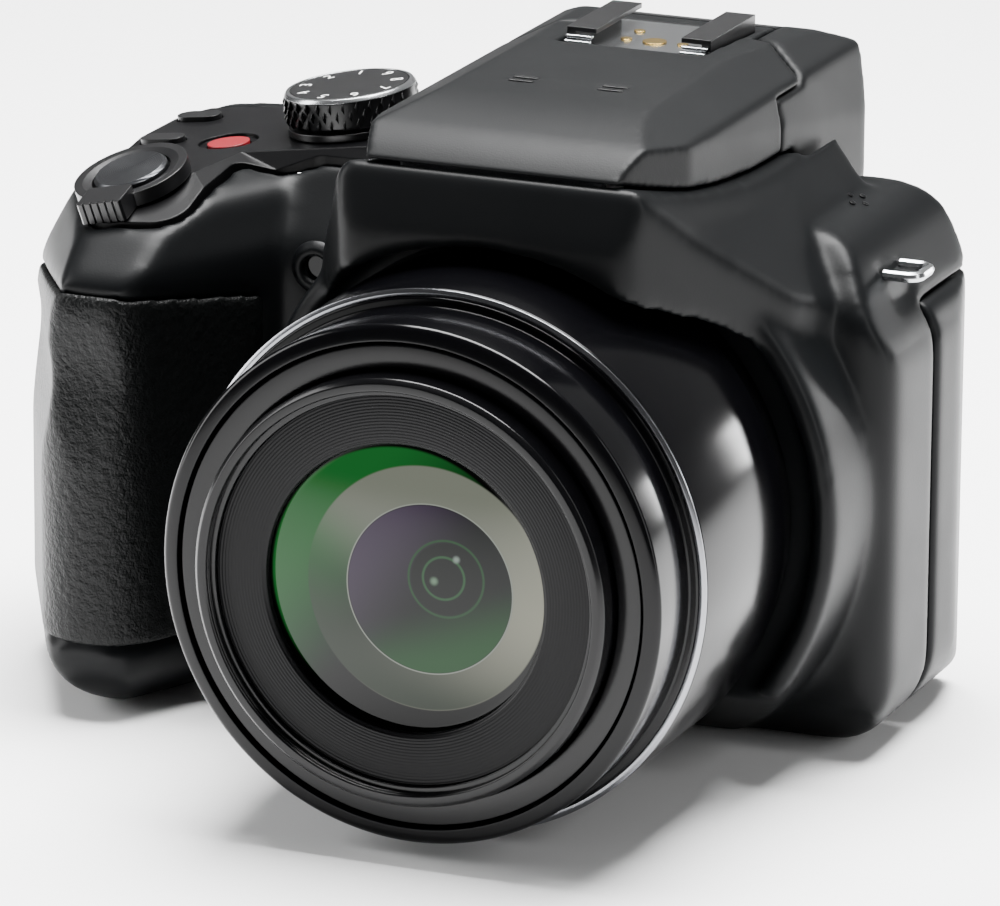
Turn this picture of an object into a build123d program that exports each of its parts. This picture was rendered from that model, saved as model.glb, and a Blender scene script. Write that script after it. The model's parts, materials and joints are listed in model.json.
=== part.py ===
from build123d import *
import math
import os

# Bridge camera with a zoom lens, a hinged flash head that carries the hot shoe, a mode dial and
# a grip that holds the battery. Millimetres. +Z is up, the lens points along -Y, and +X is the
# camera's own left side. The origin is the mouth of the tripod socket, straight below the lens
# axis and half way through the body.

# Overall sizes
overall_width = 130.2
overall_height = 94.3
overall_depth = 119.2
hump_top_drop = 1.1
hump_brow_drop = 7.3
hump_bend_drop = 3.9
hump_crease_drop = 4.9
panel_top_rise = 0.2
lid_plate_drop = 5.7
hinge_drop = 4.9
right_reach = 45.0
rear_reach = 35.2
lens_height = 37.5
left_reach = overall_width - right_reach
front_reach = overall_depth - rear_reach

# Fits between pieces
seam_gap = 0.2
running_gap = 0.35
shaft_gap = 0.05
overrun = 40.0
wall = 2.0
skin_gap = 0.15
form_lap = 0.3

# Body trunk
body_front = -21.0
body_rear = 21.0
cover_seam_y = -1.5
base_front_y = -12.0
base_chin_height = 9.0
front_corner = 5.0
side_taper_y = 8.0
side_taper_blend = 12.0
rear_right_x = 41.0
rear_corner = 4.0
trunk_left_x = -60.0
bottom_right_round = 12.0
shoulder_low_z = 57.0
shoulder_top_x = 35.5
deck_right_z = 73.0
shoulder_round = 9.0
deck_hump_x = 22.0
brow_low_z = 63.0
brow_top_y = -10.0
brow_top_z = 77.0
brow_round = 9.0
rear_brow_y = 14.0
rear_brow_z = 70.0
base_edge_round = 2.5
lug_seam_z = 61.0

# Sloped top deck beside the hump: a plane through the mode dial's seat, and a steeper one
# through the shutter button's seat
dial_x = -43.0
dial_y = 0.5
dial_seat_z = 76.3
dial_tilt_out = 7.0
dial_tilt_front = 2.0
shutter_x = -65.0
shutter_y = -25.0
shutter_seat_z = 71.6
shutter_tilt_out = 11.9
shutter_tilt_front = 14.9
deck_thickness = 3.0

# Grip. Each wall has a round foot, an upright, and a head that leans in to the deck's rim
grip_front = -47.0
grip_flat_left_x = -69.0
grip_flat_right_x = -57.0
grip_root_x = -45.0
grip_side_y = -17.0
grip_rear_y = 6.0
grip_rear_x = -79.0
grip_side_round = 16.0
grip_nose_round = 9.5
grip_rear_round = 8.0
grip_rim_round = 5.0
grip_side_foot = 10.0
grip_side_lean_z = 54.0
grip_side_head = 20.0
grip_side_rim = 9.5
grip_flank_foot = 12.0
grip_flank_lean_z = 57.0
grip_flank_head = 16.0
grip_flank_rim = 6.2
grip_nose_foot = 14.0
grip_nose_lean_z = 61.5
grip_nose_head = 7.0
grip_nose_rim = 9.3
grip_inner_foot = 12.0
grip_inner_lean_z = 64.0
grip_inner_head = 8.0
grip_inner_rim = 3.5
grip_heel_foot = 8.0
grip_heel_lean_z = 58.0
grip_heel_head = 16.0
grip_heel_rim = 9.0
grip_hollow_z = 50.0
grip_hollow_low_z = 37.0
grip_hollow_depth = 1.9
grip_hollow_round = 20.0
rubber_thickness = 1.4
rubber_low_z = 11.0
rubber_high_z = 61.5
rubber_tilt = 9.0
rubber_inner_x = -46.5
grip_wall = 1.6

# Outline of the top cover in the deck
deck_rear_y = 13.0
deck_left_x = -74.6
deck_bend_y = -20.0
deck_nose_x = -66.0
deck_nose_y = -36.3
deck_notch_x = -54.2
deck_notch_y = -34.5
deck_saddle_y = -15.0
deck_front_y = -11.5
deck_corner = 5.0
hinge_cheek = 1.8
eyelet_wall_x = 41.5
eyelet_reach = 4.7
eyelet_left_x = -77.0

# Lens throat and the ring of body around it
throat_radius = 39.6
surround_radius = 42.8
surround_front = -36.0
surround_chin_y = -14.0
surround_chin_z = 14.0

# Hump over the lens
visor_front = -56.5
visor_half_width = 20.5
visor_lip_z = 78.3
visor_wing_y = -30.0
visor_wing_x = 34.5
visor_root_x = 37.5
visor_root_y = -18.0
visor_wing_z = 65.0
visor_shelf_x = 26.0
visor_shelf_z = 79.0
visor_corner = 4.0
hump_top_z = overall_height - hump_top_drop
hump_brow_y = -53.5
hump_brow_z = overall_height - hump_brow_drop
hump_front_half = 17.0
hump_mid_half = 22.5
hump_mid_y = -38.0
hump_rear_half = 24.5
hump_rear_y = 27.5
hump_bend_y = -49.5
hump_bend_z = overall_height - hump_bend_drop
hump_bend_round = 16.0
hump_crown_round = 60.0
hump_panel_half = 11.5
hump_crease_z = overall_height - hump_crease_drop
hump_low_z = 70.0
panel_top_z = overall_height + panel_top_rise
lid_seam_rear_z = 80.8
lid_rear_y = -6.0
lid_tongue_half = 12.2
lid_shoulder_y = 1.3
lid_tongue_y = 10.0
lid_wall = 1.8
lid_undercut = 20.0

# Flash head, hinged behind the hot shoe
hinge_y = 20.0
hinge_z = overall_height - hinge_drop
hinge_knuckle_radius = 2.2
hinge_pin_radius = 1.0
flash_window_half = 14.5
flash_window_low_z = 80.6
flash_window_y = -49.6
flash_window_thickness = 1.4
flash_window_depth = 11.0
shoe_plate_half = 10.8
shoe_front_y = -4.0
shoe_rear_y = 16.5
shoe_plate_thickness = 0.9
shoe_slot_half = 9.3
shoe_lip_half = 6.3
shoe_rail_height = 1.9
shoe_lip_thickness = 0.7
shoe_floor_z = overall_height - shoe_rail_height - shoe_lip_thickness
shoe_rail_front_y = -0.5
shoe_contact_y = 5.5
shoe_contact_radius = 1.7
shoe_pin_radius = 0.8
shoe_pin_x = 4.2
shoe_pin_step = 5.0
shoe_contact_rise = 0.2
lid_plate_low_z = overall_height - lid_plate_drop
lid_seam_mid_z = 83.0
lid_seam_mid_y = -36.0
lid_gap = 0.3
well_half = 16.2
well_front_y = -51.4
well_rear_y = -9.0
well_floor_z = 79.4
mic_slot_x = 6.5
mic_slot_y = -27.0
mic_slot_length = 4.0
mic_slot_width = 0.8
mic_slot_step = 1.9
mic_slot_depth = 0.8
reflector_half = 13.0
reflector_rear_y = -38.0
reflector_low_z = 81.0
reflector_trough_radius = 5.0

# Lens barrels, from the filter ring back to the sensor
lens_bore_radius = 33.1
lens_rim_radius = 35.4
lens_rim_y = -79.5
lens_bevel_y = -80.4
lens_step_radius = 35.0
lens_step_y = -68.8
chrome_radius = 36.7
chrome_bevel = 0.4
chrome_width = 0.8
barrel_radius = 37.3
barrel_rear_y = -38.4
barrel_rear_bevel = 0.9
neck_radius = 36.0
neck_floor_y = -33.6
tail_radius = 29.3
tail_bore = 27.0
tail_rear_y = -3.0
middle_inner_radius = 31.0
middle_front_y = -79.9
middle_rear_y = -34.8
middle_lip = 2.4
guide_gap = 0.5
front_barrel_radius = 29.1
front_bevel = 0.6
front_rim_radius = 28.5
filter_radius = 27.5
filter_depth = 1.4
ring_seat_radius = 26.6
name_ring_y = -81.9
name_ring_slope = 0.6
name_ring_thickness = 1.6
glass_radius = 19.7
lens_edge_radius = 20.8
front_lens_sag = 2.05
front_lens_edge = 1.6
inner_lens_radius = 12.2
inner_lens_y = -75.2
inner_lens_sag = 1.7
inner_lens_edge = 1.8
lens_shelf = 1.3
front_inner_radius = 25.8
front_bulkhead_y = -70.0
front_flange_y = -43.0
front_rear_y = -38.0
throat_floor_y = -33.2

# Mode dial and power lever
dial_radius = 9.8
dial_valley = 0.55
dial_teeth = 32
dial_low = 1.5
dial_high = 6.2
dial_face_radius = 8.3
dial_face_thickness = 0.6
dial_shaft_radius = 3.0
dial_shaft_low = -4.5
lever_radius = 9.3
lever_low = 0.2
lever_high = 1.2
lever_tab_reach = 12.6
lever_tab_half = 2.4
lever_tab_high = 2.4
lever_tab_turn = 20.0

# Shutter button in the zoom lever
collar_radius = 8.2
collar_low = 0.25
collar_high = 2.3
collar_bore = 5.7
collar_tab_reach = 11.6
collar_tab_half = 3.4
collar_tab_high = 3.4
collar_tab_root = 6.6
collar_rib_half = 0.35
collar_ribs = 6
shutter_radius = 5.3
shutter_low = 1.5
shutter_high = 2.7
stem_radius = 2.0
stem_low = -4.5

# Buttons on the top deck
record_x = -59.5
record_y = -6.0
record_radius = 3.0
record_high = 0.4
record_dish_radius = 4.3
record_dish_depth = 0.5
function_x = -69.9
function_front_y = -5.3
function_rear_y = 7.0
function_length = 6.6
function_width = 3.6
function_high = 0.7
button_low = -2.6
button_gap = 0.2

# Controls on the back
back_rise = 0.8
back_depth = 1.8
round_button_radius = 2.6
viewfinder_x = -29.0
viewfinder_z = 65.6
lock_x = -42.0
lock_z = 64.5
lock_radius = 3.4
play_x = -44.0
play_z = 50.0
display_x = -43.5
display_z = 14.5
erase_x = -70.0
erase_z = 14.5
pad_x = -57.0
pad_z = 31.0
pad_radius = 10.0
pad_inner_radius = 5.0
set_radius = 4.4
pad_slot = 0.5
thumb_x = -66.0
thumb_y = 16.5
thumb_z = 64.0
thumb_radius = 6.5
thumb_half = 2.2
thumb_teeth = 24
thumb_valley = 0.4
thumb_spindle_radius = 1.2
thumb_spindle_half = 3.2
thumb_gap = 0.3
diopter_y = 21.5
diopter_z = 76.5
diopter_radius = 3.6
diopter_thickness = 2.6
diopter_proud = 0.5

# Screen and viewfinder
screen_left_x = -34.0
screen_right_x = 38.0
screen_low_z = 6.5
screen_high_z = 61.5
screen_corner = 2.0
screen_glass = 1.3
screen_ledge = 2.5
panel_thickness = 2.6
eyecup_half = 20.0
eyecup_low_z = 71.6
eyecup_high_z = 85.0
eyecup_round = 4.0
eyecup_pocket_half = 12.0
eyecup_pocket_low_z = 73.8
eyecup_pocket_high_z = 81.0
eyecup_floor = 1.6
eyepiece_half = 8.0
eyepiece_low_z = 74.4
eyepiece_high_z = 80.2
eyepiece_thickness = 2.6
finder_half = 10.5
finder_front_y = 5.0
finder_low_z = 72.0

# Inside
chassis_y = 0.0
chassis_thickness = 1.2
chassis_left_x = -44.0
chassis_right_x = 37.0
chassis_low_z = 8.6
chassis_high_z = 62.0
chassis_foot_half = 14.0
chassis_foot_front_y = -9.0
chassis_foot_low_z = 7.1
standoff_radius = 1.6
board_y = 4.2
board_thickness = 1.2
board_margin = 4.0
chip_size = 13.0
chip_height = 1.3
sensor_half_width = 9.0
sensor_half_height = 7.0
sensor_plate = 1.4
sensor_depth = 1.5
motor_radius = 5.0
motor_length = 11.0
motor_x = -26.5
motor_z = 63.0
capacitor_radius = 4.4
capacitor_x = -36.6
capacitor_low_z = 12.0
capacitor_high_z = 42.0
speaker_x = 30.0
speaker_y = 3.0
speaker_radius = 4.0
speaker_depth = 4.0
speaker_drop = 1.1
speaker_hole_radius = 0.55
speaker_hole_ring = 2.3

# Tripod socket: a quarter inch bush in the base, on the lens axis
tripod_radius = 3.175
tripod_bush_radius = 5.5
tripod_flange_radius = 7.0
tripod_flange_thickness = 1.2
tripod_depth = 5.6
tripod_height = 7.0

# Battery, card and their door in the base of the grip
battery_left_x = -70.0
battery_right_x = -58.0
battery_front_y = -27.0
battery_rear_y = 9.0
battery_low_z = 2.3
battery_high_z = 44.3
card_left_x = -55.5
card_right_x = -53.4
card_front_y = -16.0
card_rear_y = 8.0
card_low_z = 2.6
card_high_z = 34.6
pocket_gap = 0.3
compartment_wall = 1.0
compartment_low_z = 6.6
door_left_x = -75.5
door_right_x = -51.5
door_front_y = -31.0
door_bend_x = -69.0
door_bend_y = -16.0
door_rear_y = 10.6
door_nose_x = -58.0
door_slant_y = -12.0
door_ear_relief = 1.2
door_corner = 4.0
door_thickness = 1.5
door_gap = 0.25
door_hinge_y = 12.4
door_hinge_z = 1.9
door_barrel_radius = 1.5
door_barrel_inset = 3.0
door_sweep_radius = 3.2
door_pin_radius = 0.7
door_pin_reach = 1.4
latch_x = -62.0
latch_y = -24.5
latch_length = 8.0
latch_width = 4.0
latch_depth = 0.9
latch_travel = 3.0

# Terminal door on the grip's rear flank
terminal_low_z = 18.0
terminal_high_z = 42.0
terminal_front_y = 8.2
terminal_rear_y = 16.6
terminal_thickness = 1.2
terminal_hinge_x = -80.4
terminal_hinge_y = 16.0
terminal_gap = 0.3
port_depth = 1.2
port_half_height = 3.6
port_front_y = 10.4
port_rear_y = 13.4
port_step = 11.0

# Strap eyelets, focus lamp and cover screws
eyelet_y = -5.7
eyelet_z = 66.4
eyelet_half = 3.2
eyelet_wire = 0.75
eyelet_pocket_half_y = 4.4
eyelet_pocket_half_z = 4.4
eyelet_pocket_depth = 1.0
eyelet_left_y = 4.0
eyelet_left_z = 65.0
lamp_x = -39.4
lamp_z = 61.6
lamp_radius = 1.6
lamp_lip_radius = 3.0
lamp_lip_depth = 0.5
lamp_thickness = 1.4
screw_radius = 1.5
screw_length = 3.2
screw_recess = 0.4
screw_front_y = -7.0
screw_rear_y = 13.5
screw_right_x = 33.0
screw_left_x = -38.0


def closed_face(points, radii):
    """A flat face bounded by straight runs whose corners are rounded by the given radii."""
    return make_face(FilletPolyline(*points, radius=radii, close=True))


def inset(face, amount):
    """The same face drawn in by an amount on every side."""
    if amount == 0:
        return face
    return offset(face, amount=-amount, kind=Kind.INTERSECTION)


def along_z(face, low, high):
    """Plan face, drawn in X and Y, raised from one height to another."""
    return extrude(Pos(0, 0, low) * face, amount=high - low, dir=(0, 0, 1))


def along_y(face, front, rear):
    """Elevation face, drawn in X and Z, run from front to rear."""
    plane = Plane(origin=(0, rear, 0), x_dir=(1, 0, 0), z_dir=(0, -1, 0))
    return extrude(plane * face, amount=rear - front, dir=(0, -1, 0))


def along_x(face, left, right):
    """Side face, drawn in Y and Z, run from left to right."""
    plane = Plane(origin=(left, 0, 0), x_dir=(0, 1, 0), z_dir=(1, 0, 0))
    return extrude(plane * face, amount=right - left, dir=(1, 0, 0))


def mirrored(half):
    """Points of the right half, in order, followed by their mirror images back again."""
    return half + [(-x, y) for x, y in reversed(half)]


def block(left, right, front, rear, low, high):
    """A plain box between six planes."""
    size = Box(right - left, rear - front, high - low)
    return Pos((left + right) / 2, (front + rear) / 2, (low + high) / 2) * size


def lens_cylinder(radius, front, rear):
    """A cylinder about the lens axis."""
    middle = Pos(0, (front + rear) / 2, lens_height)
    return middle * Rot(90, 0, 0) * Cylinder(radius, rear - front)


def deck_plane(x, y, z, tilt_out, tilt_front):
    """The plane of a seat on the top deck, leaning out to the grip side and forward."""
    slope_out = math.tan(math.radians(tilt_out))
    slope_front = math.tan(math.radians(tilt_front))
    return Plane(origin=(x, y, z), x_dir=(1, 0, slope_out), z_dir=(-slope_out, -slope_front, 1))


dial_plane = deck_plane(dial_x, dial_y, dial_seat_z, dial_tilt_out, dial_tilt_front)
shutter_plane = deck_plane(shutter_x, shutter_y, shutter_seat_z, shutter_tilt_out, shutter_tilt_front)


def above(plane, lift):
    """Everything that lies above a sloped plane, lifted along its normal."""
    reach = overall_width + overrun
    return plane * Pos(0, 0, lift + reach / 2) * Box(2 * reach, 2 * reach, reach)


def trunk(depth):
    """The body behind the lens, without grip or hump, drawn in by a depth."""
    plan = closed_face(
        [
            (right_reach, body_front),
            (right_reach, side_taper_y),
            (rear_right_x, body_rear),
            (trunk_left_x, body_rear),
            (trunk_left_x, body_front),
        ],
        [front_corner, side_taper_blend, rear_corner, 0, 0],
    )
    slope = math.tan(math.radians(dial_tilt_out))
    elevation = closed_face(
        [
            (right_reach, 0),
            (right_reach, shoulder_low_z),
            (shoulder_top_x, deck_right_z),
            (deck_hump_x, deck_right_z),
            (-deck_hump_x, dial_seat_z + (-deck_hump_x - dial_x) * slope),
            (trunk_left_x, dial_seat_z + (trunk_left_x - dial_x) * slope),
            (trunk_left_x, 0),
        ],
        [bottom_right_round, shoulder_round, shoulder_round, 0, 0, 0, 0],
    )
    side = closed_face(
        [
            (base_front_y, 0),
            (body_front, base_chin_height),
            (body_front, brow_low_z),
            (brow_top_y, brow_top_z),
            (brow_top_y, hump_top_z),
            (rear_brow_y, hump_top_z),
            (rear_brow_y, dial_seat_z),
            (body_rear, rear_brow_z),
            (body_rear, 0),
        ],
        [
            base_edge_round,
            brow_round,
            brow_round,
            brow_round / 3,
            0,
            0,
            rear_corner,
            rear_corner,
            base_edge_round,
        ],
    )
    solid = along_z(inset(plan, depth), -overrun, hump_top_z)
    solid &= along_y(inset(elevation, depth), 2 * body_front, 2 * body_rear)
    return solid & along_x(inset(side, depth), 2 * trunk_left_x, 2 * right_reach)


def rim_height(place):
    """Height of the lower of the two sloped decks over a place."""
    dial_rise = (place.X - dial_x) * math.tan(math.radians(dial_tilt_out))
    dial_rise += (place.Y - dial_y) * math.tan(math.radians(dial_tilt_front))
    shutter_rise = (place.X - shutter_x) * math.tan(math.radians(shutter_tilt_out))
    shutter_rise += (place.Y - shutter_y) * math.tan(math.radians(shutter_tilt_front))
    return min(dial_seat_z + dial_rise, shutter_seat_z + shutter_rise)


def grip_wall_band(start, end, depth, foot, lean_z, head, rim, hollow):
    """The side of the grip behind one wall, with its round foot and its head that leans in."""
    middle = (Vector(*start) + Vector(*end)) / 2
    along = (Vector(*end) - Vector(*start)).normalized()
    inward = Vector(along.Y, -along.X, 0)
    points = [(left_reach, 0), (0, 0)]
    radii = [0, foot]
    if hollow > 0:
        points += [(0, grip_hollow_low_z), (hollow, grip_hollow_z)]
        radii += [grip_hollow_round, grip_hollow_round]
    points += [(0, lean_z), (rim, rim_height(middle + inward * rim)), (left_reach, overall_height)]
    radii += [head, grip_rim_round, 0]
    plane = Plane(origin=middle, x_dir=inward, z_dir=inward.cross(Vector(0, 0, 1)))
    return extrude(plane * inset(closed_face(points, radii), depth), amount=left_reach, both=True)


def grip(depth):
    """The handgrip, drawn in by a depth."""
    root = (grip_root_x, body_front)
    right = (grip_flat_right_x, grip_front)
    left = (grip_flat_left_x, grip_front)
    side = (-left_reach, grip_side_y)
    rear = (-left_reach, grip_rear_y)
    heel = (grip_rear_x, body_rear)
    plan = closed_face(
        [(grip_root_x, body_rear), heel, rear, side, left, right, root],
        [0, grip_rear_round, grip_nose_round, grip_side_round, grip_nose_round, grip_nose_round, 0],
    )
    back = closed_face(
        [
            (body_rear, 0),
            (2 * grip_front, 0),
            (2 * grip_front, 2 * overall_height),
            (rear_brow_y, 2 * overall_height),
            (rear_brow_y, dial_seat_z),
            (body_rear, rear_brow_z),
        ],
        [base_edge_round, 0, 0, 0, rear_corner, rear_corner],
    )
    solid = along_z(inset(plan, depth), -overrun, overall_height)
    solid &= along_x(inset(back, depth), -2 * left_reach, 0)
    flank_wall = (grip_flank_foot, grip_flank_lean_z, grip_flank_head, grip_flank_rim, grip_hollow_depth)
    nose_wall = (grip_nose_foot, grip_nose_lean_z, grip_nose_head, grip_nose_rim, grip_hollow_depth)
    side_wall = (grip_side_foot, grip_side_lean_z, grip_side_head, grip_side_rim, 0)
    inner_wall = (grip_inner_foot, grip_inner_lean_z, grip_inner_head, grip_inner_rim, 0)
    heel_wall = (grip_heel_foot, grip_heel_lean_z, grip_heel_head, grip_heel_rim, 0)
    solid &= grip_wall_band(left, side, depth, *flank_wall)
    solid &= grip_wall_band(right, left, depth, *nose_wall)
    solid &= grip_wall_band(side, rear, depth, *side_wall)
    solid &= grip_wall_band(root, right, depth, *inner_wall)
    return solid & grip_wall_band(rear, heel, depth, *heel_wall)


def below_lid(lift):
    """Side view of the brow and the saddle behind it, up to the lid's seam raised by a lift."""
    seam = Spline(
        (hump_brow_y, hump_brow_z + lift),
        (lid_seam_mid_y, lid_seam_mid_z + lift),
        (lid_rear_y, lid_seam_rear_z + lift),
    )
    rest = Polyline(
        (lid_rear_y, lid_seam_rear_z + lift),
        (body_rear / 2, lid_seam_rear_z + lift),
        (body_rear / 2, lens_height),
        (visor_front, lens_height),
        (visor_front, visor_lip_z),
        (hump_brow_y, hump_brow_z + lift),
    )
    return make_face([seam, rest])


def visor():
    """The brow over the lens, which flares back into the shoulders."""
    plan = closed_face(
        mirrored(
            [
                (visor_half_width, visor_front),
                (visor_wing_x, visor_wing_y),
                (visor_root_x, visor_root_y),
                (visor_root_x, body_rear / 2),
            ]
        ),
        [visor_corner, visor_corner, visor_corner, 0, 0, visor_corner, visor_corner, visor_corner],
    )
    elevation = closed_face(
        mirrored(
            [
                (visor_root_x, lens_height),
                (visor_wing_x + visor_corner / 2, visor_wing_z),
                (visor_shelf_x, visor_shelf_z),
                (hump_front_half, hump_top_z),
            ]
        ),
        [0, visor_corner, visor_corner, 0, 0, visor_corner, visor_corner, 0],
    )
    solid = along_z(plan, 0, hump_top_z)
    solid &= along_y(elevation, 2 * visor_front, 2 * body_rear)
    return solid & along_x(below_lid(0), -2 * visor_root_x, 2 * visor_root_x)


def upper_hump(depth):
    """The faceted top of the hump: flash head in front, viewfinder housing behind."""
    plan = closed_face(
        mirrored(
            [
                (hump_front_half, visor_front),
                (hump_mid_half, hump_mid_y),
                (hump_rear_half, hump_rear_y),
            ]
        ),
        [visor_corner, 2 * visor_corner, visor_corner, visor_corner, 2 * visor_corner, visor_corner],
    )
    elevation = closed_face(
        mirrored(
            [
                (hump_rear_half, hump_low_z),
                (hump_rear_half, (hump_low_z + hump_crease_z) / 2),
                (hump_mid_half, hump_crease_z),
                (hump_panel_half, panel_top_z),
            ]
        ),
        [0, 0, visor_corner / 2, 0, 0, visor_corner / 2, 0, 0],
    )
    side = closed_face(
        [
            (visor_front, visor_lip_z),
            (hump_brow_y, hump_brow_z),
            (hump_bend_y, hump_bend_z),
            (hump_mid_y, hump_top_z - form_lap),
            (shoe_front_y, hump_top_z),
            (hinge_y + hinge_knuckle_radius, shoe_floor_z),
            (hump_rear_y, hump_crease_z),
            (hump_rear_y, hump_low_z),
            (visor_front, hump_low_z),
        ],
        [0, 0, hump_bend_round, hump_crown_round, hump_crown_round, 0, 0, 0, 0],
    )
    solid = along_z(inset(plan, depth), 0, panel_top_z)
    solid &= along_y(inset(elevation, depth), 2 * visor_front, 2 * body_rear)
    return solid & along_x(inset(side, depth), -2 * visor_root_x, 2 * visor_root_x)


def surround(depth):
    """The round boss of the body that the lens sits in."""
    boss = lens_cylinder(surround_radius - depth, surround_front + depth, body_rear / 2)
    boss = chamfer(boss.edges().filter_by(GeomType.CIRCLE).sort_by(Axis.Y)[0], seam_gap * 4)
    side = closed_face(
        [
            (body_rear / 2, depth),
            (surround_chin_y + depth, depth),
            (surround_front, surround_chin_z + depth),
            (surround_front - overrun, overall_height),
            (body_rear / 2, overall_height),
        ],
        [0, base_edge_round * 2, 0, 0, 0],
    )
    return boss & along_x(side, -left_reach, left_reach)


def deck_seat(x, y):
    """The plane of the mode dial's deck at a place on it."""
    rise_out = (x - dial_x) * math.tan(math.radians(dial_tilt_out))
    rise_front = (y - dial_y) * math.tan(math.radians(dial_tilt_front))
    return deck_plane(x, y, dial_seat_z + rise_out + rise_front, dial_tilt_out, dial_tilt_front)


def post(plane, radius, low, high):
    """A cylinder that stands on a sloped plane."""
    return plane * Pos(0, 0, (low + high) / 2) * Cylinder(radius, high - low)


def toothed_wheel(radius, valley, teeth, low, high):
    """A disc with a row of fine grip teeth round its edge."""
    points = []
    for step in range(2 * teeth):
        angle = math.pi * step / teeth
        reach = radius - valley * (step % 2)
        points.append((reach * math.cos(angle), reach * math.sin(angle)))
    return along_z(make_face(Polyline(*points, close=True)), low, high)


def turned(points):
    """A solid turned about the lens axis from points of radius and depth."""
    return Pos(0, 0, lens_height) * revolve(make_face(Polyline(*points, close=True)), axis=Axis.Y)


def left_sky(drop):
    """The space above the two decks of the grip side, lowered by a drop."""
    high = 2 * overall_height
    side = block(-2 * left_reach, -deck_hump_x, 2 * grip_front, 2 * body_rear, lens_height, high)
    return (above(dial_plane, -drop) & side) + (above(shutter_plane, -drop) & side)


def body_outside():
    """The outer form of the whole body under the flash head."""
    solid = trunk(0) + grip(0) - left_sky(0)
    return solid + surround(0) + visor()


def body_inside():
    """The hollow of the body."""
    grip_depth = rubber_thickness + skin_gap + grip_wall
    hollow = trunk(wall) + grip(grip_depth)
    behind = block(-left_reach, left_reach, throat_floor_y + wall, body_rear, 0, overall_height)
    hollow += surround(wall) & behind
    hollow -= left_sky(deck_thickness)
    brow = block(-visor_root_x, visor_root_x, 2 * visor_front, body_front + wall, lens_height, overall_height)
    rim = lens_cylinder(surround_radius - wall, 2 * visor_front, body_rear)
    return hollow - (brow - rim)


def rear_zone(gap):
    """Where the rear cover lies: behind the side seam, and below the shoulder on the lens's left."""
    front = cover_seam_y + gap
    zone = block(-2 * left_reach, 2 * right_reach, front, 2 * rear_reach, -overrun, overall_height)
    shoulder = block(
        hump_rear_half - gap, 2 * right_reach, -overrun, 2 * rear_reach, lug_seam_z - gap, 2 * overall_height
    )
    return zone - shoulder


def deck_zone(gap):
    """Plan outline of the top cover, from the deck down through its thickness."""
    outline = closed_face(
        [
            (-deck_hump_x - 2 * wall + gap, deck_rear_y + gap),
            (deck_left_x - gap, deck_rear_y + gap),
            (deck_left_x - gap, deck_bend_y),
            (deck_nose_x, deck_nose_y - gap),
            (deck_notch_x + gap, deck_notch_y - gap),
            (deck_notch_x + gap, deck_saddle_y - gap),
            (dial_x, deck_front_y - gap),
            (-deck_hump_x - 2 * wall + gap, deck_front_y - gap),
        ],
        [0, deck_corner, deck_corner, deck_corner, deck_corner, deck_corner / 2, deck_corner, 0],
    )
    return along_z(outline, 0, overall_height) & left_sky(deck_thickness + 5 * gap)


def housing_zone(gap):
    """Where the viewfinder housing lies: the rear of the hump."""
    half = hump_rear_half + gap
    front = block(-half, half, lid_rear_y - gap, body_rear, lid_seam_rear_z - gap, overall_height + wall)
    rear = block(-half, half, cover_seam_y - gap, 2 * rear_reach, hump_low_z - gap, overall_height + wall)
    return front + rear


def lid_plate(gap):
    """The rear part of the flash head: a tongue to the hinge, and shoulders that lean back as they rise."""
    low = lid_plate_low_z - gap
    front = lid_rear_y - wall
    tongue = block(-lid_tongue_half - gap, lid_tongue_half + gap, front, hinge_y, low, overall_height)
    outline = closed_face(
        mirrored(
            [
                (hump_rear_half + gap, front),
                (hump_rear_half + gap, lid_shoulder_y + gap),
                (lid_tongue_half + gap, lid_tongue_y + gap),
            ]
        ),
        [0, 0, 0, 0, 0, 0],
    )
    rise = overall_height - low
    return tongue + extrude(Pos(0, 0, low) * outline, amount=rise, dir=(0, 0, 1), taper=-lid_undercut)


def knuckle(radius, half):
    """A cylinder on the flash head's hinge axis."""
    return Pos(0, hinge_y, hinge_z) * Rot(0, 90, 0) * Cylinder(radius, 2 * half)


def flash_head():
    """The pop-up head: a shell over the flash, a plate under the shoe and the hinge knuckle."""
    rear = lid_rear_y - lid_gap / 2
    high = overall_height + wall
    above_seam = block(-visor_root_x, visor_root_x, 2 * visor_front, rear, hump_low_z, high)
    above_seam -= along_x(below_lid(lid_gap), -2 * visor_root_x, 2 * visor_root_x)
    shell = upper_hump(0) & above_seam
    hollow = block(-visor_root_x, visor_root_x, 2 * visor_front, lid_rear_y - lid_wall, 0, overall_height)
    shell -= upper_hump(lid_wall) & hollow
    plate = upper_hump(0) & lid_plate(0)
    solid = shell + plate + knuckle(hinge_knuckle_radius, lid_tongue_half)
    solid -= knuckle(hinge_pin_radius + shaft_gap, hump_rear_half)
    solid -= block(
        -shoe_plate_half,
        shoe_plate_half,
        shoe_front_y,
        shoe_rear_y + skin_gap,
        shoe_floor_z - shoe_plate_thickness,
        2 * overall_height,
    )
    solid -= block(
        -shoe_plate_half,
        shoe_plate_half,
        shoe_rear_y,
        hinge_y + hinge_knuckle_radius,
        shoe_floor_z,
        2 * overall_height,
    )
    for side in (-1, 1):
        for row in (0, 1):
            place = Pos(side * mic_slot_x, mic_slot_y + row * mic_slot_step, hump_top_z)
            solid -= place * Box(mic_slot_length, mic_slot_width, 2 * mic_slot_depth)
    return solid


def flash_window():
    """The clear window across the front of the flash head, under its brow."""
    pane = block(
        -flash_window_half,
        flash_window_half,
        flash_window_y,
        flash_window_y + flash_window_depth,
        flash_window_low_z,
        overall_height,
    )
    inside = pane & upper_hump(lid_wall + skin_gap)
    return inside & block(
        -flash_window_half,
        flash_window_half,
        flash_window_y,
        flash_window_y + flash_window_thickness,
        flash_window_low_z,
        overall_height,
    )


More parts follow.
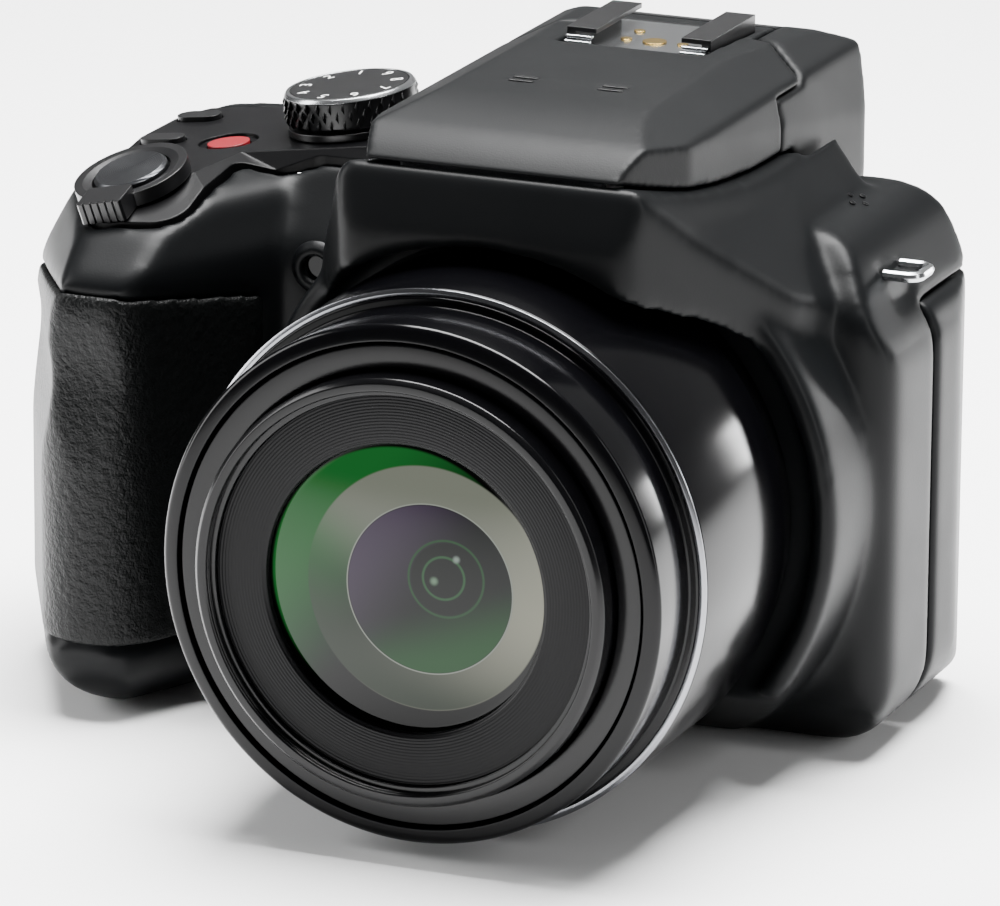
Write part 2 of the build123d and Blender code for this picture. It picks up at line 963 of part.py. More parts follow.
def flash_reflector():
    """The trough behind the window that throws the light forward."""
    front = flash_window_y + flash_window_thickness + skin_gap
    body = block(-reflector_half, reflector_half, front, reflector_rear_y, reflector_low_z, overall_height)
    body &= upper_hump(lid_wall + skin_gap)
    trough = Pos(0, front, flash_window_low_z + reflector_trough_radius) * Rot(0, 90, 0)
    return body - trough * Cylinder(reflector_trough_radius - wall / 2, 2 * (reflector_half - wall / 2))


def shoe_plate():
    """The flat metal floor of the accessory shoe."""
    low = shoe_floor_z - shoe_plate_thickness
    half = shoe_plate_half - skin_gap
    return block(-half, half, shoe_front_y + skin_gap, shoe_rear_y, low, shoe_floor_z)


def shoe_rails():
    """The two folded rails that grip an accessory's foot."""
    rails = []
    for side in (-1, 1):
        outer = side * (shoe_plate_half - skin_gap)
        wall_x = sorted((outer, side * shoe_slot_half))
        lip_x = sorted((outer, side * shoe_lip_half))
        upright = block(*wall_x, shoe_rail_front_y, shoe_rear_y, shoe_floor_z, overall_height)
        lip_z = overall_height - shoe_lip_thickness
        lip = block(*lip_x, shoe_rail_front_y, shoe_rear_y, lip_z, overall_height)
        rails.append(upright + lip)
    return Compound(children=rails)


def shoe_contacts():
    """The centre contact and four small ones behind it on the shoe's floor."""
    high = shoe_floor_z + shoe_contact_rise
    middle = (shoe_floor_z + high) / 2
    discs = [Pos(0, shoe_contact_y, middle) * Cylinder(shoe_contact_radius, shoe_contact_rise)]
    for side in (-1, 1):
        for row in (-1, 1):
            y = shoe_contact_y + (row + 1) * shoe_pin_step / 2
            discs.append(Pos(side * shoe_pin_x, y, middle) * Cylinder(shoe_pin_radius, shoe_contact_rise))
    return Compound(children=discs)


def hinge_pin():
    """The pin that the flash head turns on, held in the viewfinder housing's cheeks."""
    return knuckle(hinge_pin_radius, lid_tongue_half + hinge_cheek)


def evf_housing():
    """The rear of the hump, which holds the viewfinder and the flash head's hinge."""
    solid = upper_hump(0) & housing_zone(0)
    solid -= lid_plate(lid_gap)
    solid -= knuckle(hinge_knuckle_radius + lid_gap, lid_tongue_half + lid_gap)
    solid -= knuckle(hinge_pin_radius + shaft_gap, lid_tongue_half + hinge_cheek + shaft_gap)
    low_top = hinge_z - hinge_knuckle_radius - lid_gap - wall / 2
    inner = upper_hump(wall)
    front_y = cover_seam_y + wall
    trough_y = hinge_y - hinge_knuckle_radius - lid_gap - wall
    hollow = block(-visor_root_x, visor_root_x, front_y, trough_y, 0, lid_plate_low_z - lid_gap - wall)
    hollow += block(-visor_root_x, visor_root_x, front_y, 2 * rear_reach, 0, low_top)
    solid -= inner & hollow
    half = hump_rear_half - wall
    floor = block(-half, half, front_y, hump_rear_y - wall, 0, hump_low_z + wall)
    solid -= floor & block(-left_reach, left_reach, front_y, body_rear - wall, 0, overall_height)
    solid -= block(
        -eyepiece_half - skin_gap,
        eyepiece_half + skin_gap,
        body_rear,
        2 * rear_reach,
        eyepiece_low_z - skin_gap,
        eyepiece_high_z + skin_gap,
    )
    return solid - diopter_disc(diopter_radius + button_gap, diopter_thickness)


def diopter_disc(radius, thickness):
    """A disc on the diopter dial's axis, from just proud of the housing's flank inwards."""
    left = -hump_rear_half - diopter_proud
    return Pos(left + thickness / 2, diopter_y, diopter_z) * Rot(0, 90, 0) * Cylinder(radius, thickness)


def eyecup():
    """The rubber cup round the eyepiece, narrower towards the eye."""
    plane = Plane(origin=(0, hump_rear_y + skin_gap, 0), x_dir=(1, 0, 0), z_dir=(0, -1, 0))
    middle_z = (eyecup_low_z + eyecup_high_z) / 2
    height = eyecup_high_z - eyecup_low_z
    outline = Pos(0, middle_z) * RectangleRounded(2 * eyecup_half, height, eyecup_round)
    depth = rear_reach - hump_rear_y - skin_gap
    cup = extrude(plane * outline, amount=depth, dir=(0, 1, 0))
    cup = chamfer(cup.faces().sort_by(Axis.Y)[-1].edges(), eyecup_round / 3)
    pocket = block(
        -eyecup_pocket_half,
        eyecup_pocket_half,
        hump_rear_y + skin_gap + eyecup_floor,
        2 * rear_reach,
        eyecup_pocket_low_z,
        eyecup_pocket_high_z,
    )
    window = block(
        -eyepiece_half - skin_gap,
        eyepiece_half + skin_gap,
        0,
        2 * rear_reach,
        eyepiece_low_z - skin_gap,
        eyepiece_high_z + skin_gap,
    )
    return cup - pocket - window


def eyepiece_lens():
    """The viewfinder's rear lens."""
    front = hump_rear_y + skin_gap - wall
    return block(
        -eyepiece_half, eyepiece_half, front, front + eyepiece_thickness, eyepiece_low_z, eyepiece_high_z
    )


def evf_module():
    """The small display and its optics, in front of the eyepiece."""
    top = hinge_z - hinge_knuckle_radius - lid_gap - wall / 2 - skin_gap
    rear = hump_rear_y + skin_gap - wall - skin_gap
    tube = block(-finder_half, finder_half, finder_front_y, rear, finder_low_z, top)
    return chamfer(tube.edges().filter_by(Axis.Y), wall / 2)


def base_cuts():
    """Openings through the base for the battery, the card, their door and its hinge."""
    cuts = along_z(door_outline(door_gap), -overrun, door_thickness + door_gap)
    cuts += block(
        battery_left_x - pocket_gap,
        battery_right_x + pocket_gap,
        battery_front_y - pocket_gap,
        battery_rear_y + pocket_gap,
        -overrun,
        compartment_low_z + pocket_gap,
    )
    cuts += block(
        card_left_x - pocket_gap,
        card_right_x + pocket_gap,
        card_front_y - pocket_gap,
        card_rear_y + pocket_gap,
        -overrun,
        compartment_low_z + pocket_gap,
    )
    left = door_left_x + door_barrel_inset - door_gap
    right = door_right_x - door_barrel_inset + door_gap
    sweep = Pos((left + right) / 2, door_hinge_y, door_hinge_z) * Rot(0, 90, 0)
    cuts += sweep * Cylinder(door_sweep_radius, right - left)
    pin = Cylinder(door_pin_radius + shaft_gap, right - left + 2 * door_pin_reach)
    cuts += sweep * pin
    return cuts


def door_outline(gap):
    """Plan outline of the battery door, grown by a gap."""
    face = closed_face(
        [
            (door_left_x, door_rear_y),
            (door_left_x, door_bend_y),
            (door_bend_x, door_front_y),
            (door_nose_x, door_front_y),
            (door_right_x, door_slant_y),
            (door_right_x, door_rear_y),
        ],
        [door_corner / 2, door_corner, door_corner, door_corner, door_corner, door_corner / 2],
    )
    return inset(face, -gap)


def door_recess():
    """The shallow trough in the door that the latch slides in."""
    return block(
        latch_x - latch_width / 2 - door_gap,
        latch_x + latch_width / 2 + door_gap,
        latch_y - latch_length / 2 - door_gap,
        latch_y + latch_length / 2 + latch_travel + door_gap,
        -overrun,
        latch_depth + door_gap / 2,
    )


def battery_door():
    """The door under the battery, with its hinge barrel and two stub pins."""
    leaf = along_z(door_outline(0), 0, door_thickness) & grip(0)
    leaf -= block(door_left_x, door_right_x, door_rear_y - door_ear_relief, door_hinge_y, 0, door_thickness)
    left = door_left_x + door_barrel_inset
    right = door_right_x - door_barrel_inset
    axis = Pos((left + right) / 2, door_hinge_y, door_hinge_z) * Rot(0, 90, 0)
    arm_low = door_hinge_z - door_barrel_radius
    arm = block(left, right, door_rear_y - door_corner, door_hinge_y, arm_low, door_thickness)
    door = leaf + arm + axis * Cylinder(door_barrel_radius, right - left)
    door += axis * Cylinder(door_pin_radius, right - left + 2 * door_pin_reach)
    return door - door_recess()


def battery_latch():
    """The sliding catch in the door's outer face."""
    slider = block(
        latch_x - latch_width / 2,
        latch_x + latch_width / 2,
        latch_y - latch_length / 2,
        latch_y + latch_length / 2,
        latch_depth / 3,
        latch_depth,
    )
    ribs = [
        block(
            latch_x - latch_width / 2,
            latch_x + latch_width / 2,
            latch_y + step * latch_width / 2 - latch_depth / 2,
            latch_y + step * latch_width / 2,
            0,
            latch_depth / 3,
        )
        for step in (-1, 0, 1)
    ]
    for rib in ribs:
        slider += rib
    return slider


def battery_compartment():
    """The plastic chimney in the grip that guides the battery and the card."""
    edge = pocket_gap + compartment_wall
    chimney = block(
        battery_left_x - edge,
        battery_right_x + edge,
        battery_front_y - edge,
        battery_rear_y + edge,
        compartment_low_z,
        battery_high_z + edge,
    )
    chimney += block(
        battery_right_x,
        card_right_x + edge,
        card_front_y - edge,
        card_rear_y + edge,
        compartment_low_z,
        card_high_z + edge,
    )
    chimney -= block(
        battery_left_x - pocket_gap,
        battery_right_x + pocket_gap,
        battery_front_y - pocket_gap,
        battery_rear_y + pocket_gap,
        -overrun,
        battery_high_z + pocket_gap,
    )
    return chimney - block(
        card_left_x - pocket_gap,
        card_right_x + pocket_gap,
        card_front_y - pocket_gap,
        card_rear_y + pocket_gap,
        -overrun,
        card_high_z + pocket_gap,
    )


def battery():
    """The rechargeable pack."""
    pack = block(
        battery_left_x, battery_right_x, battery_front_y, battery_rear_y, battery_low_z, battery_high_z
    )
    return chamfer(pack.edges().filter_by(Axis.Z), wall / 2)


def memory_card():
    """The card, with its one cut corner."""
    card = block(card_left_x, card_right_x, card_front_y, card_rear_y, card_low_z, card_high_z)
    corner = card.edges().filter_by(Axis.X).sort_by(Axis.Y)[0:2].sort_by(Axis.Z)[-1]
    return chamfer(corner, 2 * wall)


def terminal_zone(gap):
    """Where the terminal door lies on the flank of the grip."""
    return block(
        -2 * left_reach,
        thumb_x,
        terminal_front_y - gap,
        terminal_rear_y + gap,
        terminal_low_z - gap,
        terminal_high_z + gap,
    )


def terminal_door():
    """The small flap over the two sockets, a slice of the grip's own surface with a round hinge edge."""
    leaf = (grip(0) - grip(terminal_thickness)) & terminal_zone(0)
    leaf -= block(-2 * left_reach, thumb_x, terminal_hinge_y, 2 * terminal_rear_y, 0, overall_height)
    hinge = Pos(terminal_hinge_x, terminal_hinge_y, (terminal_low_z + terminal_high_z) / 2)
    return leaf + hinge * Cylinder(terminal_thickness / 2, terminal_high_z - terminal_low_z)


def terminal_cuts():
    """The door's shallow recess and the two sockets in its floor."""
    floor = terminal_thickness + terminal_gap
    cuts = (grip(-form_lap) - grip(floor)) & terminal_zone(terminal_gap)
    middle = (terminal_low_z + terminal_high_z) / 2
    for side in (-1, 1):
        port = block(
            -2 * left_reach,
            thumb_x,
            port_front_y,
            port_rear_y,
            middle + side * port_step / 2 - port_half_height,
            middle + side * port_step / 2 + port_half_height,
        )
        cuts += (grip(-form_lap) - grip(floor + port_depth)) & port
    return cuts


def rubber_zone(gap):
    """Where the grip's rubber lies, below a line that falls towards the side."""
    tilt = math.tan(math.radians(rubber_tilt))
    rear = cover_seam_y - wall
    run = rear - grip_front
    side = make_face(
        Polyline(
            (2 * grip_front, rubber_low_z - gap),
            (rear + gap, rubber_low_z - gap),
            (rear + gap, rubber_high_z - run * tilt + gap),
            (2 * grip_front, rubber_high_z - grip_front * tilt + gap),
            close=True,
        )
    )
    return along_x(side, -2 * left_reach, rubber_inner_x + gap)


def grip_rubber():
    """The rubber skin round the grip."""
    return (grip(0) - grip(rubber_thickness)) & rubber_zone(0)


def rubber_recess():
    """The bed cut in the grip for its rubber."""
    return (grip(-form_lap) - grip(rubber_thickness + skin_gap)) & rubber_zone(skin_gap)


def throat():
    """The round well that the lens stands in and the arch under the brow."""
    well = lens_cylinder(throat_radius, 2 * visor_front, throat_floor_y)
    return well + lens_cylinder(tail_radius + running_gap, 2 * visor_front, body_rear / 2)


def flash_well():
    """The well in the top of the brow that the flash window and its reflector hang in."""
    return block(-well_half, well_half, well_front_y, well_rear_y, well_floor_z, overall_height)


def eyelet_pocket():
    """The recess round the strap eyelet on the camera's own left side."""
    reach = overrun
    left = eyelet_wall_x - eyelet_pocket_depth
    return block(
        left,
        left + reach,
        eyelet_y - eyelet_pocket_half_y,
        eyelet_y + eyelet_pocket_half_y,
        eyelet_z - eyelet_pocket_half_z,
        eyelet_z + eyelet_pocket_half_z,
    )


def eyelet_loop(x, y, z, side):
    """A loop of wire that stands out of the cover, with its two legs going into it."""
    path = FilletPolyline(
        (x, y - eyelet_half, z),
        (x + side * eyelet_reach, y - eyelet_half, z),
        (x + side * eyelet_reach, y + eyelet_half, z),
        (x, y + eyelet_half, z),
        radius=eyelet_half / 2,
    )
    start = Plane(origin=(x, y - eyelet_half, z), z_dir=(side, 0, 0))
    return sweep(start * RegularPolygon(eyelet_wire, 8), path=path)


def strap_eyelets():
    """The two wire loops that a strap is tied to."""
    right = eyelet_loop(eyelet_wall_x - eyelet_pocket_depth - wall / 2, eyelet_y, eyelet_z, 1)
    left = eyelet_loop(eyelet_left_x, eyelet_left_y, eyelet_left_z, -1)
    return Compound(children=[right, left])


def eyelet_holes():
    """Four holes for the loops' legs."""
    holes = []
    for x, y, z in (
        (eyelet_wall_x - eyelet_pocket_depth, eyelet_y, eyelet_z),
        (eyelet_left_x, eyelet_left_y, eyelet_left_z),
    ):
        for side in (-1, 1):
            hole = Rot(0, 90, 0) * Cylinder(eyelet_wire + shaft_gap, 4 * wall)
            holes.append(Pos(x, y + side * eyelet_half, z) * hole)
    return holes


def lamp_hole():
    """The stepped hole for the focus lamp in the front."""
    place = Pos(lamp_x, body_front, lamp_z) * Rot(90, 0, 0)
    bore = place * Cylinder(lamp_radius + skin_gap, 4 * wall)
    return bore + place * Cylinder(lamp_lip_radius, 2 * lamp_lip_depth)


def af_lamp_window():
    """The small lens of the focus lamp."""
    rear = body_front + wall
    place = Pos(lamp_x, rear - lamp_thickness / 2, lamp_z) * Rot(90, 0, 0)
    return place * Cylinder(lamp_radius, lamp_thickness)


def speaker_holes():
    """One hole and a ring of six round it over the speaker."""
    holes = [Pos(speaker_x, speaker_y, deck_right_z) * Cylinder(speaker_hole_radius, 4 * wall)]
    for step in range(6):
        angle = math.pi * step / 3
        x = speaker_x + speaker_hole_ring * math.cos(angle)
        y = speaker_y + speaker_hole_ring * math.sin(angle)
        holes.append(Pos(x, y, deck_right_z) * Cylinder(speaker_hole_radius, 4 * wall))
    return holes


def screw_places():
    """Where the cover screws stand in the base."""
    return [(x, y) for x in (screw_left_x, screw_right_x) for y in (screw_front_y, screw_rear_y)]


def cover_screws():
    """The four screws in the base."""
    screws = []
    for x, y in screw_places():
        shank = Pos(x, y, screw_recess + screw_length / 2) * Cylinder(screw_radius, screw_length)
        slot = Pos(x, y, screw_recess) * Box(2 * screw_radius * 0.7, screw_radius / 3, screw_radius / 2)
        cross = Pos(x, y, screw_recess) * Box(screw_radius / 3, 2 * screw_radius * 0.7, screw_radius / 2)
        screws.append(shank - slot - cross)
    return Compound(children=screws)


def screw_holes():
    """Clearance holes for the base screws."""
    return [
        Pos(x, y, 0) * Cylinder(screw_radius + shaft_gap, 4 * wall + 2 * screw_length)
        for x, y in screw_places()
    ]


def tripod_nut():
    """The metal bush with the tripod thread."""
    bush = Pos(0, 0, tripod_height / 2) * Cylinder(tripod_bush_radius, tripod_height)
    flange_low = wall + skin_gap / 2
    flange_middle = flange_low + tripod_flange_thickness / 2
    bush += Pos(0, 0, flange_middle) * Cylinder(tripod_flange_radius, tripod_flange_thickness)
    bore = Pos(0, 0, tripod_depth / 2 - overrun / 2) * Cylinder(tripod_radius, tripod_depth + overrun)
    return bush - bore


def tripod_hole():
    """The hole in the base round the tripod bush."""
    return Cylinder(tripod_bush_radius + shaft_gap, 4 * wall)


def sector(low_angle, high_angle):
    """A wedge of the rear key ring, drawn in X and Z about its middle."""
    reach = 2 * pad_radius
    low, high = math.radians(low_angle), math.radians(high_angle)
    wedge = make_face(
        Polyline(
            (0, 0),
            (reach * math.cos(low), reach * math.sin(low)),
            (reach * math.cos(high), reach * math.sin(high)),
            close=True,
        )
    )
    return Pos(pad_x, pad_z) * wedge


def back_disc(x, z, radius, rise):
    """A round key that stands out of the back by a rise."""
    middle = body_rear + (rise - back_depth) / 2
    return Pos(x, middle, z) * Rot(90, 0, 0) * Cylinder(radius, rise + back_depth)


def pad_key(turn):
    """One quarter of the ring of four keys."""
    ring = back_disc(pad_x, pad_z, pad_radius, back_rise)
    ring -= back_disc(pad_x, pad_z, pad_inner_radius, 2 * wall)
    half_angle = 45 - math.degrees(pad_slot / (pad_radius + pad_inner_radius))
    return ring & along_y(sector(turn - half_angle, turn + half_angle), 0, 2 * rear_reach)


def back_cuts():
    """Holes in the back for its keys, the thumb dial and the screen."""
    low_y = body_rear - 3 * wall
    cuts = [
        Pos(x, body_rear, z) * Rot(90, 0, 0) * Cylinder(radius + button_gap, 6 * wall)
        for x, z, radius in (
            (viewfinder_x, viewfinder_z, round_button_radius),
            (lock_x, lock_z, lock_radius),
            (play_x, play_z, round_button_radius),
            (display_x, display_z, round_button_radius),
            (erase_x, erase_z, round_button_radius),
            (pad_x, pad_z, pad_radius),
        )
    ]
    cuts.append(
        block(
            thumb_x - thumb_radius - thumb_gap,
            thumb_x + thumb_radius + thumb_gap,
            thumb_y - thumb_radius,
            2 * rear_reach,
            thumb_z - thumb_half - thumb_gap,
            thumb_z + thumb_half + thumb_gap,
        )
    )
    cuts.append(screen_slab(skin_gap, body_rear - screen_glass, 2 * rear_reach))
    cuts.append(screen_slab(-screen_ledge, low_y, 2 * rear_reach))
    return cuts


def screen_slab(grow, front, rear):
    """The screen's rounded outline, grown, as a slab."""
    width = screen_right_x - screen_left_x + 2 * grow
    height = screen_high_z - screen_low_z + 2 * grow
    middle = Pos((screen_left_x + screen_right_x) / 2, (screen_low_z + screen_high_z) / 2)
    return along_y(middle * RectangleRounded(width, height, screen_corner), front, rear)


def thumb_dial():
    """The edge wheel under the thumb, on its spindle."""
    wheel = toothed_wheel(thumb_radius, thumb_valley, thumb_teeth, -thumb_half, thumb_half)
    wheel += Cylinder(thumb_spindle_radius, 2 * thumb_spindle_half)
    return Pos(thumb_x, thumb_y, thumb_z) * wheel


def deck_slot(x, y, length, width, low, high):
    """A key with round ends on the mode dial's deck."""
    plane = deck_seat(x, y)
    return extrude(plane * Pos(0, 0, low) * SlotOverall(length, width), amount=high - low)


def deck_cuts():
    """Holes through the top cover for everything that stands in it."""
    grow = 2 * button_gap
    deep = -2 * deck_thickness
    high = deck_thickness
    record_seat = deck_seat(record_x, record_y)
    return [
        post(dial_plane, dial_shaft_radius + shaft_gap, deep, high),
        post(shutter_plane, stem_radius + shaft_gap, deep, high),
        post(record_seat, record_radius + button_gap, deep, high),
        post(record_seat, record_dish_radius, -record_dish_depth, high),
        deck_slot(function_x, function_front_y, function_length + grow, function_width + grow, deep, high),
        deck_slot(function_x, function_rear_y, function_length + grow, function_width + grow, deep, high),
    ]


def mode_dial():
    """The knurled mode dial on its shaft."""
    wheel = toothed_wheel(dial_radius, dial_valley, dial_teeth, dial_low, dial_high)
    wheel -= Pos(0, 0, dial_high) * Cylinder(dial_face_radius + shaft_gap, 2 * dial_face_thickness)
    return dial_plane * wheel + post(dial_plane, dial_shaft_radius, dial_shaft_low, dial_low)


def dial_face():
    """The plate set in the top of the mode dial."""
    return post(dial_plane, dial_face_radius, dial_high - dial_face_thickness, dial_high)


def power_lever():
    """The ring under the mode dial, with a tab behind it."""
    ring = post(dial_plane, lever_radius, lever_low, lever_high)
    tab = Pos(0, lever_tab_reach - lever_radius / 4, (lever_low + lever_tab_high) / 2)
    tab *= Box(2 * lever_tab_half, lever_radius / 2, lever_tab_high - lever_low)
    solid = ring + dial_plane * Rot(0, 0, lever_tab_turn) * tab
    solid -= post(dial_plane, dial_shaft_radius + shaft_gap, 2 * dial_shaft_low, dial_high)
    return solid - post(dial_plane, dial_radius + running_gap, lever_high, dial_high)


def zoom_lever():
    """The collar round the shutter button, with a ribbed tab in front."""
    collar = Pos(0, 0, (collar_low + collar_high) / 2) * Cylinder(collar_radius, collar_high - collar_low)
    tab_root = -collar_tab_root
    tab = block(-collar_tab_half, collar_tab_half, -collar_tab_reach, tab_root, collar_low, collar_tab_high)
    solid = collar + chamfer(tab.edges().filter_by(Axis.Z), collar_rib_half)
    pitch = 2 * collar_tab_half / collar_ribs
    for step in range(collar_ribs - 1):
        x = -collar_tab_half + (step + 1) * pitch
        groove = block(
            x - collar_rib_half / 2,
            x + collar_rib_half / 2,
            -2 * collar_tab_reach,
            -collar_tab_reach + collar_rib_half,
            collar_low - overrun,
            collar_tab_high + overrun,
        )
        solid -= groove
    solid -= Cylinder(collar_bore, overrun)
    solid -= Pos(0, 0, collar_high) * Cone(collar_bore, collar_radius, collar_rib_half * 2)
    return shutter_plane * solid


def shutter_button():
    """The shutter release on its stem."""
    cap = post(shutter_plane, shutter_radius, shutter_low, shutter_high)
    edge = cap.edges().filter_by(GeomType.CIRCLE).sort_by(Axis.Z)[-1]
    cap = chamfer(edge, (shutter_high - shutter_low) / 3)
    return cap + post(shutter_plane, stem_radius, stem_low, shutter_low)


def record_button():
    """The movie button, low in its dish."""
    return post(deck_seat(record_x, record_y), record_radius, button_low, record_high - record_dish_depth)


def fixed_barrel():
    """The outer lens barrel, its neck in the body's throat and its tail inside the body."""
    step_y = middle_rear_y + running_gap
    return turned(
        [
            (lens_bore_radius, lens_bevel_y),
            (lens_rim_radius, lens_rim_y),
            (lens_step_radius, lens_step_y - chrome_width),
            (lens_step_radius, lens_step_y),
            (chrome_radius - chrome_bevel, lens_step_y),
            (chrome_radius - chrome_bevel, lens_step_y + chrome_width),
            (barrel_radius, lens_step_y + chrome_width),
            (barrel_radius, barrel_rear_y - barrel_rear_bevel),
            (barrel_radius - barrel_rear_bevel, barrel_rear_y),
            (neck_radius, barrel_rear_y),
            (neck_radius, neck_floor_y),
            (tail_radius, neck_floor_y),
            (tail_radius, tail_rear_y),
            (tail_bore, tail_rear_y),
            (tail_bore, neck_floor_y),
            (tail_bore, step_y),
            (lens_bore_radius, step_y),
        ]
    )


def chrome_ring():
    """The bright ring set in the step of the outer barrel."""
    inner = chrome_radius - chrome_bevel + shaft_gap
    return turned(
        [
            (inner, lens_step_y),
            (chrome_radius, lens_step_y),
            (barrel_radius, lens_step_y + chrome_bevel),
            (barrel_radius, lens_step_y + chrome_width - shaft_gap),
            (inner, lens_step_y + chrome_width - shaft_gap),
        ]
    )


def middle_barrel():
    """The middle zoom barrel, with a seal lip at its mouth."""
    outer = lens_bore_radius - running_gap
    lip = front_barrel_radius + running_gap
    return turned(
        [
            (lip, middle_front_y),
            (outer, middle_front_y),
            (outer, middle_rear_y),
            (middle_inner_radius, middle_rear_y),
            (middle_inner_radius, middle_front_y + middle_lip),
            (lip, middle_front_y + middle_lip),
        ]
    )


def front_barrel():
    """The inner zoom barrel: filter thread, seats of the two lens groups and a guide flange."""
    guide = middle_inner_radius - guide_gap
    shelf_y = name_ring_y + name_ring_thickness
    lens_rear_y = shelf_y + front_lens_edge
    inner_rear_y = inner_lens_y + inner_lens_edge
    seat_radius = lens_edge_radius + shaft_gap
    inner_seat = inner_lens_radius + shaft_gap
    return turned(
        [
            (filter_radius, -front_reach),
            (front_rim_radius, -front_reach),
            (front_barrel_radius, -front_reach + front_bevel),
            (front_barrel_radius, front_flange_y),
            (guide, front_flange_y),
            (guide, front_rear_y),
            (front_inner_radius, front_rear_y),
            (front_inner_radius, front_bulkhead_y),
            (inner_seat - lens_shelf, front_bulkhead_y),
            (inner_seat - lens_shelf, inner_rear_y),
            (inner_seat, inner_rear_y),
            (inner_seat, inner_lens_y),
            (seat_radius - lens_shelf, lens_rear_y),
            (seat_radius, lens_rear_y),
            (seat_radius, shelf_y),
            (ring_seat_radius, shelf_y),
            (ring_seat_radius, -front_reach + filter_depth),
            (filter_radius, -front_reach + filter_depth),
        ]
    )


def name_ring():
    """The bare ring that holds the front lens."""
    outer = ring_seat_radius - shaft_gap
    return turned(
        [
            (glass_radius, name_ring_y + name_ring_slope),
            (outer, name_ring_y),
            (outer, name_ring_y + name_ring_thickness),
            (glass_radius, name_ring_y + name_ring_thickness),
        ]
    )


def lens_element(radius, rim, edge_y, edge, sag):
    """A lens with a domed front inside its rim and a flat back."""
    dome = ThreePointArc((0, edge_y - sag), (rim * 0.5, edge_y - sag * 0.76), (rim, edge_y))
    back_y = edge_y + edge
    rest = Polyline((rim, edge_y), (radius, edge_y), (radius, back_y), (0, back_y), (0, edge_y - sag))
    return Pos(0, 0, lens_height) * revolve(make_face([dome, rest]), axis=Axis.Y)


def front_lens():
    """The large front element."""
    edge_y = name_ring_y + name_ring_thickness + shaft_gap
    rim = glass_radius - shaft_gap
    return lens_element(lens_edge_radius, rim, edge_y, front_lens_edge - 2 * shaft_gap, front_lens_sag)


def inner_lens():
    """The smaller element behind it."""
    rim = inner_lens_radius - inner_lens_edge / 3
    return lens_element(inner_lens_radius, rim, inner_lens_y, inner_lens_edge - shaft_gap, inner_lens_sag)


def chassis():
    """The metal frame plate behind the lens, with its foot over the tripod bush and its standoffs."""
    rear = chassis_y + chassis_thickness
    plate = block(chassis_left_x, chassis_right_x, chassis_y, rear, chassis_low_z, chassis_high_z)
    plate = chamfer(plate.edges().filter_by(Axis.Y), 2 * wall)
    foot_high = chassis_low_z + wall / 2
    plate += block(-chassis_foot_half, chassis_foot_half, chassis_y, rear, chassis_foot_low_z, foot_high)
    plate += block(
        -chassis_foot_half,
        chassis_foot_half,
        chassis_foot_front_y,
        chassis_y,
        chassis_foot_low_z,
        chassis_foot_low_z + chassis_thickness - seam_gap,
    )
    for x in (chassis_left_x + 2 * board_margin, chassis_right_x - 2 * board_margin):
        for z in (chassis_low_z + board_margin, chassis_high_z - board_margin):
            middle = (rear + board_y) / 2
            plate += Pos(x, middle, z) * Rot(90, 0, 0) * Cylinder(standoff_radius, board_y - rear)
    return plate


def main_board():
    """The circuit board with its processor and memory."""
    board = block(
        chassis_left_x + board_margin / 2,
        chassis_right_x - board_margin / 2,
        board_y + shaft_gap,
        board_y + board_thickness,
        chassis_low_z,
        chassis_high_z - board_margin / 4,
    )
    high = board_y + board_thickness
    for step in (-1, 0, 1):
        x = step * 2 * chip_size - board_margin
        board += block(x, x + chip_size, high, high + chip_height, lens_height, lens_height + chip_size)
    return board


def image_sensor():
    """The sensor package on the round plate that closes the lens tail, against the frame plate."""
    seat = tail_rear_y + shaft_gap
    low = lens_height - sensor_half_height
    high = lens_height + sensor_half_height
    package = block(
        -sensor_half_width, sensor_half_width, seat - sensor_depth, chassis_y - shaft_gap, low, high
    )
    return package + lens_cylinder(tail_radius, seat, seat + sensor_plate)


def zoom_motor():
    """The motor that drives the zoom barrels."""
    rear = chassis_y - shaft_gap
    middle = Pos(motor_x, rear - motor_length / 2, motor_z) * Rot(90, 0, 0)
    shaft = Pos(motor_x, rear - motor_length, motor_z) * Rot(90, 0, 0)
    return middle * Cylinder(motor_radius, motor_length) + shaft * Cylinder(motor_radius / 5, 2 * wall)


def flash_capacitor():
    """The capacitor that stands in front of the frame plate."""
    y = chassis_y - capacitor_radius - shaft_gap
    middle = (capacitor_low_z + capacitor_high_z) / 2
    return Pos(capacitor_x, y, middle) * Cylinder(capacitor_radius, capacitor_high_z - capacitor_low_z)


def speaker():
    """The round speaker under the holes of the right shoulder."""
    top = deck_right_z - wall - speaker_drop
    return Pos(speaker_x, speaker_y, top - speaker_depth / 2) * Cylinder(speaker_radius, speaker_depth)


def lcd_panel():
    """The screen's panel behind the rear cover."""
    rear = body_rear - wall - shaft_gap
    return screen_slab(-screen_ledge / 2, rear - panel_thickness, rear)


def lcd_window():
    """The screen's cover glass, set flush in the back."""
    return screen_slab(0, body_rear - screen_glass + shaft_gap, body_rear)


def covers():
    """The four body shells, cut from one hollow form along their seams."""
    shell = body_outside() - body_inside()
    for cut in (throat(), flash_well(), base_cuts(), rubber_recess(), terminal_cuts(), tripod_hole()):
        shell -= cut
    holes = speaker_holes() + screw_holes() + eyelet_holes() + back_cuts()
    for cut in holes + [lamp_hole(), eyelet_pocket()]:
        shell -= cut
    deck = shell & deck_zone(0)
    for cut in deck_cuts():
        deck -= cut
    rest = shell - deck_zone(seam_gap) - housing_zone(seam_gap)
    front = rest - rear_zone(0)
    rear = rest & rear_zone(seam_gap)
    return largest(front), largest(rear), largest(deck)


def largest(shape):
    """The biggest solid of a shape, without slivers."""
    return shape.solids().sort_by(SortBy.VOLUME)[-1]


